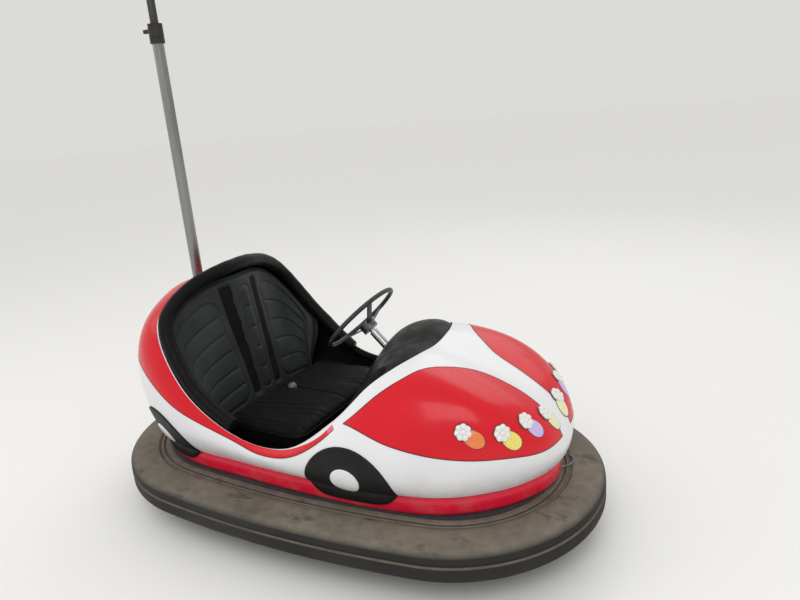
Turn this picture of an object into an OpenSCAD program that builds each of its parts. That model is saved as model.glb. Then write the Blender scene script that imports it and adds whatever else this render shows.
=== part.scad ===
// Two-seat bumper car with a rubber ring, a moulded body and a roof current pole.
// X runs forward, Y to the left and Z up; the origin is on the floor under the middle of the ring.

/* [Bumper ring] */
// Length over the rubber ring
ring_length = 1950; // [1850:10:2050]
// Width over the rubber ring
ring_width = 1140; // [1100:10:1200]
// Radius of the nearly straight sides
side_radius = 4000; // [3500:100:5000]
// How far behind the middle the ring is widest
widest_behind = 100; // [60:10:140]
// Breadth of the rubber, from the outer face to the steel rim
rubber_breadth = 165; // [150:5:180]
// Height of the underside of the rubber
rubber_low = 99; // [92:1:106]
// Height of the top of the rubber
rubber_top = 212; // [206:1:220]
// Thickness of the steel rim band
rim_band = 5; // [4:1:8]

/* [Chassis] */
// Thickness of the floor plate
floor_plate = 5; // [4:1:8]
// Height of the underside of the floor plate
floor_low = 112; // [108:1:118]
// Width of the square cross tubes
tube_size = 40; // [30:2:50]
// Wall of the square cross tubes
tube_wall = 3; // [2:0.5:5]

/* [Body shell] */
// Thickness of the moulded nose
nose_wall = 8; // [6:1:12]
// Thickness of the double wall round the cockpit
cockpit_wall = 26; // [20:1:30]
// Height of the lower edge of the skirt
skirt_low = 218; // [215:1:222]
// Height of the ledge over the skirt
ledge_height = 290; // [284:1:296]
// Depth of the scoop round the foot of the pole
scoop_depth = 70; // [50:5:90]
// How proud the wheel shields stand of the body
shield_proud = 6; // [4:1:9]
// Radius of the wheel shields
shield_radius = 160; // [150:2:165]

/* [Seat] */
// Thickness of the seat back shell
back_thickness = 34; // [28:2:40]
// Height of the top of the cushion
cushion_top = 400; // [385:5:415]
// Thickness of the cushion
cushion_thickness = 90; // [75:5:100]
// How far the seat's rear edge is behind the middle
seat_rear = 400; // [380:5:420]
// How far the cushion's front edge is ahead of the middle
seat_ahead = 20; // [0:5:40]
// Radius of the padded roll along the seat edge
roll_radius = 20; // [16:1:24]

/* [Steering] */
// Radius of the steering wheel, to the middle of its rim
wheel_radius = 165; // [150:5:175]
// Radius of the steering wheel's rim section
wheel_grip = 9; // [8:1:11]
// Radius of the steering shaft
shaft_radius = 11; // [9:0.5:13]
// How steeply the column runs down and forward
column_angle = 45; // [42:1:48]
// How far the steering wheel is left of the middle
wheel_side = 225; // [205:5:235]
// How far the steering wheel's centre is behind the middle
wheel_behind = 45; // [35:5:60]
// Height of the steering wheel's centre
wheel_height = 640; // [630:5:660]

/* [Drive] */
// Radius of the drive wheel
drive_radius = 100; // [90:1:104]
// Width of the drive tyre
drive_width = 56; // [46:2:64]
// Thickness of the drive tyre
drive_tread = 18; // [14:1:24]
// Radius of the swivel pin
pin_radius = 20; // [16:1:24]
// Thickness of the fork plates
fork_plate = 8; // [6:1:10]
// Distance of the swivel pin behind the ring's front end
drive_setback = 455; // [435:5:475]

/* [Rear wheels] */
// Radius of the rear wheels
rear_radius = 70; // [62:1:75]
// Width of the rear tyres
rear_width = 40; // [34:2:46]
// Radius of the rear axle pins
rear_pin = 10; // [8:1:12]
// Distance of the rear wheels ahead of the ring's rear end
rear_setback = 415; // [395:5:435]
// Track of the rear wheels
rear_track = 500; // [470:10:530]

/* [Pole] */
// Radius of the lower pole tube
pole_radius = 21; // [19:1:24]
// Wall of the pole tubes
pole_wall = 3; // [2:0.5:4]
// Radius of the upper pole tube
upper_radius = 15; // [13:1:16]
// Height of the top of the lower tube
pole_step = 1790; // [1700:10:1850]
// Height of the top of the contact shoe
contact_height = 2700; // [2600:10:2750]
// Distance of the pole ahead of the ring's rear end
pole_setback = 295; // [275:5:305]

/* [Lamps] */
// Thickness of the lamp rings
lamp_ring = 6; // [4:1:8]
// Thickness of the lamp discs
lamp_disc = 8; // [6:1:12]

/* [Hidden] */
$fn = 64;

// Running clearance of the pins and shafts, on the radius
run_gap = 0.05;
// Clearance between soft or curved pieces and what carries them
seat_gap = 0.3;
// Clearance between the rubber ring and its steel band
ring_gap = 0.6;

// The ring that stations, shields, lamps and wheels are drawn for, and how they follow its size
DRAWN_RING = [1950, 1140];
follow = [ring_length / DRAWN_RING[0], ring_width / DRAWN_RING[1], 1];
function followed(p) = [p[0] * follow[0], p[1] * follow[1], p[2]];

// Outline of the ring: one arc at the nose, one at the tail and two long side arcs
half_length = ring_length / 2;
half_width = ring_width / 2;
drive_forward = half_length - drive_setback;
rear_behind = half_length - rear_setback;
rear_side = rear_track / 2 * follow[1];
column_side = wheel_side * follow[1];
pole_behind = half_length - pole_setback;
side_drop = side_radius - half_width;
nose_reach = half_length + widest_behind;
tail_reach = half_length - widest_behind;
function end_radius(reach) = (side_radius ^ 2 - reach ^ 2 - side_drop ^ 2) / (2 * (side_radius - reach));
nose_arc = end_radius(nose_reach);
tail_arc = end_radius(tail_reach);
nose_mid = half_length - nose_arc;
tail_mid = -half_length + tail_arc;
nose_turn = atan2(side_drop, nose_mid + widest_behind);
tail_turn = atan2(side_drop, -tail_mid - widest_behind);
ring_fn = 180;

// Stops round the ring's outline. Columns: centre of the arc, radius, angle
function arc_stops(mid, r, from, to, parts) =
    [for (k = [0:parts - 1]) [mid, r, from + (to - from) * k / parts]];
ring_stops = concat(
    arc_stops([nose_mid, 0], nose_arc, -nose_turn, nose_turn, 36),
    arc_stops([-widest_behind, -side_drop], side_radius, nose_turn, 180 - tail_turn, 14),
    arc_stops([tail_mid, 0], tail_arc, 180 - tail_turn, 180 + tail_turn, 36),
    arc_stops([-widest_behind, side_drop], side_radius, 180 + tail_turn, 360 - nose_turn, 14));
function ring_point(stop, p) = let (r = stop[1] + p[0])
    [stop[0][0] + r * cos(stop[2]), stop[0][1] + r * sin(stop[2]), p[1]];

// Sweeps a section round the ring's outline; its first number is measured outward from that outline
module ring_sweep(section) {
    n = len(section);
    count = len(ring_stops);
    function at(i, k) = (i % count) * n + k % n;
    polyhedron(points = [for (stop = ring_stops) each [for (p = section) ring_point(stop, p)]],
        faces = [for (i = [0:count - 1], k = [0:n - 1]) each
            [[at(i, k), at(i, k + 1), at(i + 1, k + 1)], [at(i, k), at(i + 1, k + 1), at(i + 1, k)]]]);
}

// The flat area inside the ring's outline, drawn in by the given distance
module ring_area(inset) {
    nose_x = nose_mid + (nose_arc - inset) * cos(nose_turn);
    tail_x = tail_mid - (tail_arc - inset) * cos(tail_turn);
    translate([nose_mid, 0]) circle(r = nose_arc - inset, $fn = ring_fn);
    translate([tail_mid, 0]) circle(r = tail_arc - inset, $fn = ring_fn);
    intersection() {
        translate([tail_x, -half_width]) square([nose_x - tail_x, ring_width]);
        translate([-widest_behind, -side_drop]) circle(r = side_radius - inset, $fn = 4 * ring_fn);
        translate([-widest_behind, side_drop]) circle(r = side_radius - inset, $fn = 4 * ring_fn);
    }
}

// Body form: right-hand stations from the nose (0) round to the tail (10).
// Columns: ledge x, y | lower bulge x, y, z | upper bulge x, y, z | rim x, y, z
STATIONS = [
    [835, 0,      930, 0, 400,      820, 0, 575,      404, 0, 660],
    [795, -130,   895, -155, 400,   845, -185, 585,   398, -120, 668],
    [700, -250,   775, -290, 390,   750, -300, 635,   360, -230, 655],
    [540, -350,   585, -410, 370,   500, -385, 560,   306, -312, 617],
    [300, -395,   310, -455, 340,   270, -445, 470,   195, -375, 504],
    [20, -405,    20, -455, 330,    20, -455, 380,    20, -415, 395],
    [-240, -400,  -240, -455, 350,  -230, -460, 400,  -200, -425, 415],
    [-480, -385,  -500, -460, 380,  -460, -475, 520,  -400, -430, 560],
    [-660, -310,  -740, -370, 420,  -680, -400, 740,  -540, -365, 760],
    [-780, -170,  -870, -190, 430,  -820, -200, 840,  -530, -200, 870],
    [-820, 0,     -910, 0, 430,     -840, 0, 860,     -490, 0, 895]];
last = len(STATIONS) - 1;
STATION_AXES = [0, 1, 0, 1, 2, 0, 1, 2, 0, 1, 2];
FORM = [for (s = STATIONS) [for (k = [0:len(s) - 1]) s[k] * follow[STATION_AXES[k]]]];
seam = 4;
function flipped(s) = [s[0], -s[1], s[2], -s[3], s[4], s[5], -s[6], s[7], s[8], -s[9], s[10]];
function wrap(i) = ((i % (2 * last)) + 2 * last) % (2 * last);
function knot(i) = wrap(i) <= last ? FORM[wrap(i)] : flipped(FORM[2 * last - wrap(i)]);
function through(a, b, c, d, u) =
    0.5 * (2 * b + (c - a) * u + (2 * a - 5 * b + 4 * c - d) * u ^ 2 + (3 * b - a - 3 * c + d) * u ^ 3);
function net(v) = let (i = floor(v)) through(knot(i - 1), knot(i), knot(i + 1), knot(i + 2), v - i);
function curve(p, w) =
    (1 - w) ^ 3 * p[0] + 3 * w * (1 - w) ^ 2 * p[1] + 3 * w ^ 2 * (1 - w) * p[2] + w ^ 3 * p[3];
function smooth(t) = let (c = max(0, min(1, t))) c * c * (3 - 2 * c);
scoop_half = 150;
scoop_start = 0.42;
function scoop(p, w) = p[0] > 0 ? 0
    : scoop_depth * smooth(1 - abs(p[1]) / scoop_half) * smooth((w - scoop_start) / 0.25)
        * smooth((1 - w) / 0.1);
function skin_plain(v, w) =
    let (n = net(v))
    curve([[n[0], n[1], ledge_height], [n[2], n[3], n[4]], [n[5], n[6], n[7]], [n[8], n[9], n[10]]], w);
function skin(v, w) = let (p = skin_plain(v, w)) p - [0, 0, scoop(p, w)];
step = 0.02;
function unit(a) = a / norm(a);
function outward(v, w) =
    unit(cross(skin(v, min(1, w + step)) - skin(v, max(0, w - step)),
        skin(v + step, w) - skin(v - step, w)));
function lifted(v, w, d) = skin(v, w) + d * outward(v, w);
// Distance along an upright plane that is turned about the vertical, and height
function on_plane(p, turn) = [p[0] * cos(turn) + p[1] * sin(turn), p[2]];
// Place on the right-hand skin square off a point of such a plane, found by a few Newton steps
function placed(spot, v, w, turn = 0, turns = 6) = turns == 0 ? [v, w]
    : let (p = on_plane(skin(v, w), turn), a = (on_plane(skin(v + step, w), turn) - p) / step,
        b = (on_plane(skin(v, w + step), turn) - p) / step, det = cross(a, b), e = spot - p)
    placed(spot, v + cross(e, b) / det, max(0, min(0.96, w + cross(a, e) / det)), turn, turns - 1);
function plan_out(v) = let (d = net(v + step) - net(v - step)) unit([d[1], -d[0], 0]) * -1;

// Closed solid between two matching grids of points
module shell_between(outer, inner) {
    cols = len(outer);
    rows = len(outer[0]);
    count = cols * rows;
    function at(i, j) = i * rows + j;
    function quad(a, b, c, d) = [[a, b, c], [a, c, d]];
    faces = concat(
        [for (i = [0:cols - 2], j = [0:rows - 2]) each
            quad(at(i, j), at(i + 1, j), at(i + 1, j + 1), at(i, j + 1))],
        [for (i = [0:cols - 2], j = [0:rows - 2]) each
            quad(count + at(i, j), count + at(i, j + 1), count + at(i + 1, j + 1), count + at(i + 1, j))],
        [for (i = [0:cols - 2]) each
            quad(at(i, 0), count + at(i, 0), count + at(i + 1, 0), at(i + 1, 0))],
        [for (i = [0:cols - 2]) each
            quad(at(i, rows - 1), at(i + 1, rows - 1), count + at(i + 1, rows - 1),
                count + at(i, rows - 1))],
        [for (j = [0:rows - 2]) each
            quad(at(0, j), at(0, j + 1), count + at(0, j + 1), count + at(0, j))],
        [for (j = [0:rows - 2]) each
            quad(at(cols - 1, j), count + at(cols - 1, j), count + at(cols - 1, j + 1),
                at(cols - 1, j + 1))]);
    polyhedron(points = concat([for (c = outer) each c], [for (c = inner) each c]), faces = faces);
}

// Skirt below the ledge. Columns: inset of the outer face from the ledge, height above the
// skirt's lower edge, inset of the inner face
SKIRT = [[14, 0, 42], [4, 16, 20], [3, 44, 14], [10, 70, 18]];
skin_rows = [for (k = [0:10]) k / 10];
function wall_at(v) = let (far = abs(wrap(v + last) - last))
    nose_wall + (cockpit_wall - nose_wall) * smooth((far - seam) / 1.2) * smooth((last - 1.5 - far) / 1.5);
function outer_column(v) = concat(
    [for (s = SKIRT) let (n = net(v))
        [n[0], n[1], skirt_low + s[1]] - plan_out(v) * s[0]],
    [for (w = skin_rows) skin(v, w)]);
function inner_column(v) = concat(
    [for (s = SKIRT) let (n = net(v))
        [n[0], n[1], skirt_low + s[1]] - plan_out(v) * s[2]],
    [for (w = skin_rows) lifted(v, w, -(nose_wall + (wall_at(v) - nose_wall) * smooth(w / 0.5)))]);
module body_span(from, to, pitch) {
    stops = [for (k = [0:round((to - from) / pitch)]) from + k * pitch];
    shell_between([for (v = stops) outer_column(v)], [for (v = stops) inner_column(v)]);
}

// Rubber ring with a groove round its side and raised lips beside the body.
// Columns: distance out from the ring's outline, share of the rubber's height, offset in height
RING_SECTION = [[-rubber_breadth, 0, 6], [-14, 0, 0], [0, 0, 14], [0, 0.5, 0], [-7, 0.54, 0], [-7, 0.58, 0],
    [0, 0.62, 0], [-3, 1, -16], [-16, 1, -6], [-60, 1, 0], [-118, 1, 0], [-126, 1, -9], [-130, 1, -9],
    [-134, 1, -2], [-rubber_breadth, 1, -2]];
module bumper_tyre() {
    color("dimgray") ring_sweep([for (p = RING_SECTION)
        [p[0], rubber_low + p[1] * (rubber_top - rubber_low) + p[2]]]);
}

// Steel band inside the rubber, with one flange that carries the body and one that carries the floor
rim_out = rubber_breadth + ring_gap;
rim_in = rim_out + rim_band;
upper_flange = 60;
lower_flange = 40;
module rim_layer(low, high, inner) {
    translate([0, 0, low]) linear_extrude(high - low) difference() {
        ring_area(rim_out);
        ring_area(inner);
    }
}
module bumper_rim() {
    color("slategray") {
        rim_layer(floor_low - rim_band, floor_low, rim_out + lower_flange);
        rim_layer(floor_low - rim_band, skirt_low, rim_in);
        rim_layer(skirt_low - rim_band, skirt_low, rim_out + upper_flange);
    }
}

// Openings in the floor for the rear wheels, with room all round each wheel
well_room = [25, 22];
rear_well = [2 * (rear_radius + well_room[0]), rear_width + 2 * well_room[1]];
// The floor ends just ahead of the bulkhead, and leaves the space of the swivelling wheel open
bulkhead_x = 351;
floor_ahead = 20;
module floor_pan() {
    color("slategray") translate([0, 0, floor_low]) linear_extrude(floor_plate) difference() {
        intersection() {
            ring_area(rim_in + seat_gap);
            translate([-half_length, -half_width]) square([half_length + bulkhead_x + floor_ahead, ring_width]);
        }
        for (side = [-1, 1]) translate([-rear_behind, side * rear_side]) square(rear_well, center = true);
    }
}

// Half the free width at a distance ahead of the middle, between walls that far in from the ring's outline
deck_top = floor_low + floor_plate;
function arc_half(x, mid, r, drop) = sqrt(r ^ 2 - (x - mid) ^ 2) - drop;
function free_half(x, inset) =
    x < tail_mid - (tail_arc - inset) * cos(tail_turn) ? arc_half(x, tail_mid, tail_arc - inset, 0)
    : x > nose_mid + (nose_arc - inset) * cos(nose_turn) ? arc_half(x, nose_mid, nose_arc - inset, 0)
    : arc_half(x, -widest_behind, side_radius - inset, side_drop);
bracket_ahead = 140;
tube_gap = 1;
tube_places = [-pole_behind, -rear_behind + bracket_ahead, -60, bulkhead_x - 1 - tube_size / 2];
module cross_tubes() {
    color("slategray") for (x = tube_places) translate([x, 0, deck_top]) {
        half = min(free_half(x - tube_size / 2, rim_in), free_half(x + tube_size / 2, rim_in)) - tube_gap;
        difference() {
            translate([-tube_size / 2, -half, 0]) cube([tube_size, 2 * half, tube_size]);
            translate([-tube_size / 2 + tube_wall, -half - 1, tube_wall])
                cube([tube_size - 2 * tube_wall, 2 * half + 2, tube_size - 2 * tube_wall]);
        }
    }
}
frame_top = deck_top + tube_size;

module nose_body() {
    color("white") body_span(-seam, seam, body_pitch);
}

pole_room = 4;
pole_hole = pole_radius + pole_room;
module tail_body() {
    color("crimson") difference() {
        body_span(seam, 2 * last - seam, body_pitch);
        translate([-pole_behind, 0, ledge_height]) cylinder(r = pole_hole, h = pole_step - ledge_height);
    }
}

// Relief that lies on the body: a grid of places in the side view, lifted off the skin
module relief(grid, guess, low, high, turn = 0) {
    spots = [for (c = grid) [for (p = c) placed(p, guess[0], guess[1], turn)]];
    shell_between([for (c = spots) [for (q = c) lifted(q[0], q[1], low)]],
        [for (c = spots) [for (q = c) lifted(q[0], q[1], high)]]);
}
function disc_map(a, b) = [a * sqrt(1 - b * b / 2), b * sqrt(1 - a * a / 2)];
function disc_grid(mid, half, parts) = [for (i = [0:parts]) [for (j = [0:parts])
    let (p = disc_map(2 * i / parts - 1, 2 * j / parts - 1)) mid + [half[0] * p[0], half[1] * p[1]]]];

// Layer that follows the body's own facets between two stations, from one lift to another
body_pitch = 0.25;
module skin_layer(from, to, rows, low, high) {
    stops = [for (k = [0:round((to - from) / body_pitch)]) from + k * body_pitch];
    heights = [for (k = [0:rows]) k / 10];
    shell_between([for (v = stops) [for (w = heights) lifted(v, w, high)]],
        [for (v = stops) [for (w = heights) lifted(v, w, low)]]);
}
module both_sides() {
    children();
    mirror([0, 1, 0]) children();
}

hub_half = [50, 38];
hub_proud = 4;
hub_lift = 3;
// Moulded wheel shields over the ledge.
// Columns: distance ahead of the middle | first, last station and rows of the shield | and of its hub
SHIELDS = [[265,  2.5, 5.5, 7,  3.25, 4.75, 4],
    [-570,  6.25, 8.75, 7,  7, 8.25, 3]];
module side_layer(span, rows, side, low, high) {
    if (side < 0) skin_layer(span[0], span[1], rows, low, high);
    else skin_layer(-span[1], -span[0], rows, low, high);
}
module shield_cut(s, side, up) {
    translate([s[0] * follow[0], side < 0 ? 0 : half_width, ledge_height + up]) rotate([90, 0, 0])
        linear_extrude(half_width) children();
}
module wheel_shields() {
    color("black") for (s = SHIELDS, side = [-1, 1]) intersection() {
        side_layer([s[1], s[2]], s[3], side, seat_gap, shield_proud);
        shield_cut(s, side, 0) circle(r = shield_radius);
    }
}
module shield_hubs() {
    color("white") for (s = SHIELDS, side = [-1, 1]) intersection() {
        side_layer([s[4], s[5]], s[6], side, shield_proud + seat_gap, shield_proud + hub_proud);
        shield_cut(s, side, hub_half[1] + hub_lift)
            polygon([for (a = [0:15:345]) [hub_half[0] * cos(a), hub_half[1] * sin(a)]]);
    }
}

// Lamps. Columns: distance ahead, distance to the left, height, turn of the plane they are laid
// out on, guess of station, breadth of the ring
HEADLAMPS = [[635, -315, 518, 45, 2.3, 0.95], [735, -255, 503, 45, 1.8, 1.05],
    [779, -172, 510, 45, 1.1, 1.05], [806, -68, 492, 45, 0.4, 0.9]];
TAIL_LAMPS = [[-760, 0, 455, 0, 8.4, 0.9], [-822, 0, 455, 0, 8.9, 0.7]];
lamp_radius = 24;
ring_margin = 8;
ring_lift = 0.7;
module at_skin(spot, lift) {
    n = outward(spot[0], spot[1]);
    translate(lifted(spot[0], spot[1], lift)) rotate([0, acos(n[2]), atan2(n[1], n[0])]) children();
}
module lamp_rings(places) {
    both_sides() for (p = places)
        relief(disc_grid(on_plane(followed(p), p[3]), [lamp_radius * p[5], lamp_radius + ring_margin], 4),
            [p[4], 0.5], ring_lift, lamp_ring, p[3]);
}
module lamp_discs(places) {
    both_sides() for (p = places) at_skin(placed(on_plane(followed(p), p[3]), p[4], 0.5, p[3]),
        lamp_ring + seat_gap)
        cylinder(r = lamp_radius, h = lamp_disc);
}
module headlamp_rings() { color("darkred") lamp_rings(HEADLAMPS); }
module headlamp_discs() { color("khaki") lamp_discs(HEADLAMPS); }
module tail_lamp_rings() { color("white") lamp_rings(TAIL_LAMPS); }
module tail_lamp_discs() { color("orangered") lamp_discs(TAIL_LAMPS); }

// Bulkhead across the foot space. Columns: distance in from the steel band, height over the floor
bulkhead_thick = 6;
BULKHEAD = [[1, 0], [1, 95], [57, 95], [57, 102], [28, 112], [8, 171], [-8, 190], [-14, 228]];
module bulkhead() {
    half = free_half(bulkhead_x + bulkhead_thick, rim_in);
    color("black") translate([bulkhead_x, 0, deck_top]) rotate([90, 0, 90]) linear_extrude(bulkhead_thick)
        difference() {
            polygon(concat([for (p = BULKHEAD) [p[0] - half, p[1]]],
                [for (k = [len(BULKHEAD) - 1:-1:0]) [half - BULKHEAD[k][0], BULKHEAD[k][1]]]));
            translate([column_side, column_exit - deck_top]) circle(r = foot_hole);
        }
}

// Black cowl from under the hood's rim back over the foot space, raised on the driver's side.
// Each list runs from the left end to the right end: lower rear edge, rise behind the rim, rise over that edge
dash_from = -4;
dash_to = 4;
dash_thick = 6;
dash_back = 60;
DASH_EDGE = [[85, 365, 430], [55, 210, 440], [150, -150, 430], [180, -346, 430]];
DASH_RISE = [20, 110, 0, 0];
DASH_CROWN = [30, 380, 80, 20];
pocket_depth = 45;
pocket_at = [2.8, 0.24];
pocket_half = [1, 0.2];
column_hole = 22;
function dash_plain(v, q) =
    let (s = (v - dash_from) / (dash_to - dash_from), t = lifted(v, 1, -nose_wall - 2 * seat_gap),
        r = curve(DASH_EDGE, s))
    curve([t, [t[0] + 0.3 * (r[0] - t[0]), t[1] + 0.2 * (r[1] - t[1]), t[2] + curve(DASH_RISE, s)],
        r + [-dash_back * (1 - s), 0, curve(DASH_CROWN, s)], r], q);
function pocket(v, q) = let (a = (v - pocket_at[0]) / pocket_half[0], b = (q - pocket_at[1]) / pocket_half[1])
    pocket_depth * smooth(2 * (1 - sqrt(a * a + b * b)));
function dash_point(v, q) = dash_plain(v, q) - [0, 0, pocket(v, q)];
module dash_panel() {
    stops = [for (k = [0:round((dash_to - dash_from) / body_pitch)]) dash_from + k * body_pitch];
    rows = [for (k = [0:12]) k / 12];
    color("black") difference() {
        shell_between([for (v = stops) [for (q = rows) dash_point(v, q)]],
            [for (v = stops) [for (q = rows) dash_point(v, q) + dash_thick * [0.7 * q, 0, -1]]]);
        on_column(boot_top) cylinder(r = column_hole, h = boot_top);
    }
}

// Seat. The back rises from a straight line behind the cushion to the body's rim
base_rear = seat_rear + 40;
base_clearance = 7;
base_half = free_half(-base_rear, rim_out + upper_flange) - base_clearance;
cushion_overhang = 8;
cushion_round = 13;
seat_half = base_half + cushion_overhang;
seat_low = cushion_top - cushion_thickness;
module seat_base() {
    color("black") translate([-base_rear, -base_half, bracket_top])
        cube([seat_ahead + base_rear, 2 * base_half, seat_low - bracket_top]);
}
module seat_cushion() {
    rear = -seat_rear + back_thickness + 1;
    long = seat_ahead - rear;
    crown = 10;
    color("black") translate([rear, -seat_half, seat_low + seat_gap]) hull() {
        cube([long, 2 * seat_half, cushion_thickness / 2]);
        translate([0, cushion_round, cushion_thickness - 2 * seat_gap - crown])
            cube([long - cushion_round, 2 * (seat_half - cushion_round), crown]);
    }
}
back_from = 7;
back_room = 3;
back_drop = 4;
back_taper = 0.8;
back_bow = [30, -25];
back_focus = 150;
function back_top(v) = lifted(v, 1, -cockpit_wall - back_room) - [0, 0, back_drop];
function back_foot(v) = [-seat_rear, back_taper * back_top(v)[1], seat_low + seat_gap];
function back_rear(v, q) = let (t = back_top(v), f = back_foot(v), rise = 0.35 * (t[2] - f[2]))
    curve([t, t + [back_bow[0], -0.02 * t[1], -rise], f + [back_bow[1], 0, rise], f], q);
function back_in(v) = let (t = back_top(v)) unit([-back_focus - t[0], -t[1], 0]);
module seat_back() {
    stops = [for (v = [back_from:body_pitch:2 * last - back_from]) v];
    color("black") shell_between(
        [for (v = stops) [for (q = [0:0.1:1]) back_rear(v, q) + back_thickness * back_in(v)]],
        [for (v = stops) [for (q = [0:0.1:1]) back_rear(v, q)]]);
}

// Padded roll along the rim: a round section swept over the top of the cockpit wall
roll_from = 6.1;
function roll_along(v) = unit(skin(v + step, 1) - skin(v - step, 1));
function roll_up(v) = unit(cross(roll_along(v), outward(v, 1)));
roll_gap = 1.5;
function roll_mid(v) = 0.5 * (skin(v, 1) + lifted(v, 1, -wall_at(v))) + (roll_radius + roll_gap) * roll_up(v);
module seat_roll() {
    sides = 10;
    parts = 34;
    rings = [for (i = [0:parts]) let (v = roll_from + (2 * last - 2 * roll_from) * i / parts)
        [for (k = [0:sides - 1]) roll_mid(v)
            + roll_radius * (cos(360 * k / sides) * outward(v, 1) + sin(360 * k / sides) * roll_up(v))]];
    function at(i, k) = i * sides + k % sides;
    color("black") polyhedron(points = [for (r = rings) each r], faces = concat(
        [[for (k = [0:sides - 1]) k]],
        [[for (k = [0:sides - 1]) parts * sides + sides - 1 - k]],
        [for (i = [0:parts - 1], k = [0:sides - 1]) each
            [[at(i, k), at(i + 1, k), at(i + 1, k + 1)], [at(i, k), at(i + 1, k + 1), at(i, k + 1)]]]));
}
// Belts laid down the seat back. Columns: first and last station of each strap
STRAPS = [[9.5, 9.75], [10.25, 10.5]];
strap_thick = 4;
module belt_straps() {
    function face(v, q, lift) = back_rear(v, q) + (back_thickness + lift) * back_in(v);
    rows = [for (k = [1:8]) k / 10];
    color("dimgray") for (s = STRAPS)
        shell_between([for (v = s) [for (q = rows) face(v, q, seat_gap + strap_thick)]],
            [for (v = s) [for (q = rows) face(v, q, seat_gap)]]);
}
buckle_radius = 18;
buckle_ahead = 140;
module belt_buckle() {
    color("gray") translate([-seat_rear + buckle_ahead, 0, cushion_top]) intersection() {
        sphere(r = buckle_radius, $fn = 32);
        translate([-buckle_radius, -buckle_radius, 0]) cube(2 * buckle_radius);
    }
}

// Steering column in its own frame: z runs up the shaft to the middle of the wheel's rim
wheel_centre = [-wheel_behind, column_side, wheel_height];
shaft_reach = (bulkhead_x + wheel_behind) / cos(column_angle);
column_exit = wheel_height - (bulkhead_x + wheel_behind) * tan(column_angle);
module on_column(down) {
    translate(wheel_centre) rotate([0, column_angle - 90, 0]) translate([0, 0, -down]) children();
}
sleeve_wall = 6;
sleeve_top = 75;
boot_top = 215;
foot_radius = shaft_radius + 14;
foot_hole = foot_radius / cos(column_angle) + bulkhead_thick + 3;
dish = 42;
spoke_start = 28;
spoke_wide = 22;
spoke_thick = 5;
module column_tube() {
    color("silver") on_column(boot_top + 30) difference() {
        cylinder(r = shaft_radius + sleeve_wall, h = boot_top + 30 - sleeve_top);
        translate([0, 0, -1]) cylinder(r = shaft_radius + run_gap, h = boot_top);
    }
}
module column_foot() {
    color("black") difference() {
        union() {
            on_column(shaft_reach - 12) cylinder(r = foot_radius, h = shaft_reach - 12 - boot_top);
            translate([bulkhead_x - 8, column_side - 60, column_exit - 55]) cube([8, 120, 110]);
        }
        on_column(shaft_reach + 20) cylinder(r = shaft_radius + run_gap, h = shaft_reach);
        on_column(boot_top + 30.1) cylinder(r = shaft_radius + sleeve_wall + run_gap, h = 40);
    }
}
module steering_shaft() {
    color("silver") on_column(shaft_reach - 16) cylinder(r = shaft_radius, h = shaft_reach - 16 - dish + 8);
}
module steering_hub() {
    lean = atan2(dish, wheel_radius - spoke_start);
    long = norm([dish, wheel_radius - spoke_start]) - wheel_grip - 2 * seat_gap;
    color("black") {
        on_column(dish + 22) difference() {
            cylinder(r = 34, h = 34);
            translate([0, 0, -1]) cylinder(r = shaft_radius + 0.02, h = 32);
        }
        for (a = [90, 210, 330]) on_column(dish) rotate([0, 0, a]) translate([spoke_start, 0, 0])
            rotate([0, -lean, 0]) translate([0, -spoke_wide / 2, -spoke_thick / 2])
                cube([long, spoke_wide, spoke_thick]);
    }
}
module steering_rim() {
    color("black") on_column(0) rotate_extrude() translate([wheel_radius, 0]) circle(r = wheel_grip, $fn = 24);
}

// Swivelling drive unit
boss_height = 60;
plate_thick = 8;
plate_room = 0.1;
// The area inside the skirt, drawn in from the ledge
module skirt_area(inset) {
    polygon([for (k = [0:8 * last - 1]) let (v = k / 4, n = net(v), p = [n[0], n[1], 0] - plan_out(v) * inset)
        [p[0], p[1]]]);
}
module swivel_plate() {
    color("slategray") translate([0, 0, skirt_low]) difference() {
        union() {
            linear_extrude(plate_thick) intersection() {
                ring_area(rim_out + 48);
                skirt_area(SKIRT[0][2] + plate_room);
                translate([drive_forward - 90, -half_width]) square([150, ring_width]);
            }
            translate([drive_forward, 0, 0]) cylinder(r = 60, h = boss_height);
        }
        translate([drive_forward, 0, -1]) cylinder(r = pin_radius + run_gap, h = boss_height + 2);
    }
}
fork_half = drive_width / 2 + 12;
axle_radius = 12;
module drive_fork() {
    head_low = skirt_low - seat_gap - 10;
    color("dimgray") translate([drive_forward, 0, 0]) {
        translate([0, 0, head_low]) cylinder(r = pin_radius, h = skirt_low + boss_height + 2 - head_low);
        translate([0, 0, skirt_low + boss_height + seat_gap]) cylinder(r = pin_radius + 10, h = 8);
        translate([-45, -fork_half - fork_plate, head_low]) cube([90, 2 * (fork_half + fork_plate), 10]);
        for (side = [0, 1]) mirror([0, side, 0]) translate([-30, fork_half, drive_radius - 25])
            cube([60, fork_plate, head_low - drive_radius + 26]);
        translate([0, -fork_half - fork_plate, drive_radius]) rotate([-90, 0, 0])
            cylinder(r = axle_radius, h = 2 * (fork_half + fork_plate));
    }
}
module on_drive_axle() {
    translate([drive_forward, 0, drive_radius]) rotate([90, 0, 0]) children();
}
module drive_hub() {
    color("gray") on_drive_axle() difference() {
        translate([0, 0, -drive_width / 2]) cylinder(r = drive_radius - drive_tread, h = drive_width);
        translate([0, 0, -drive_width]) cylinder(r = axle_radius + run_gap, h = 2 * drive_width);
    }
}
module drive_tyre() {
    color("dimgray") on_drive_axle() difference() {
        translate([0, 0, -drive_width / 2]) cylinder(r = drive_radius, h = drive_width);
        translate([0, 0, -drive_width]) cylinder(r = drive_radius - drive_tread + 0.02, h = 2 * drive_width);
    }
}

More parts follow.
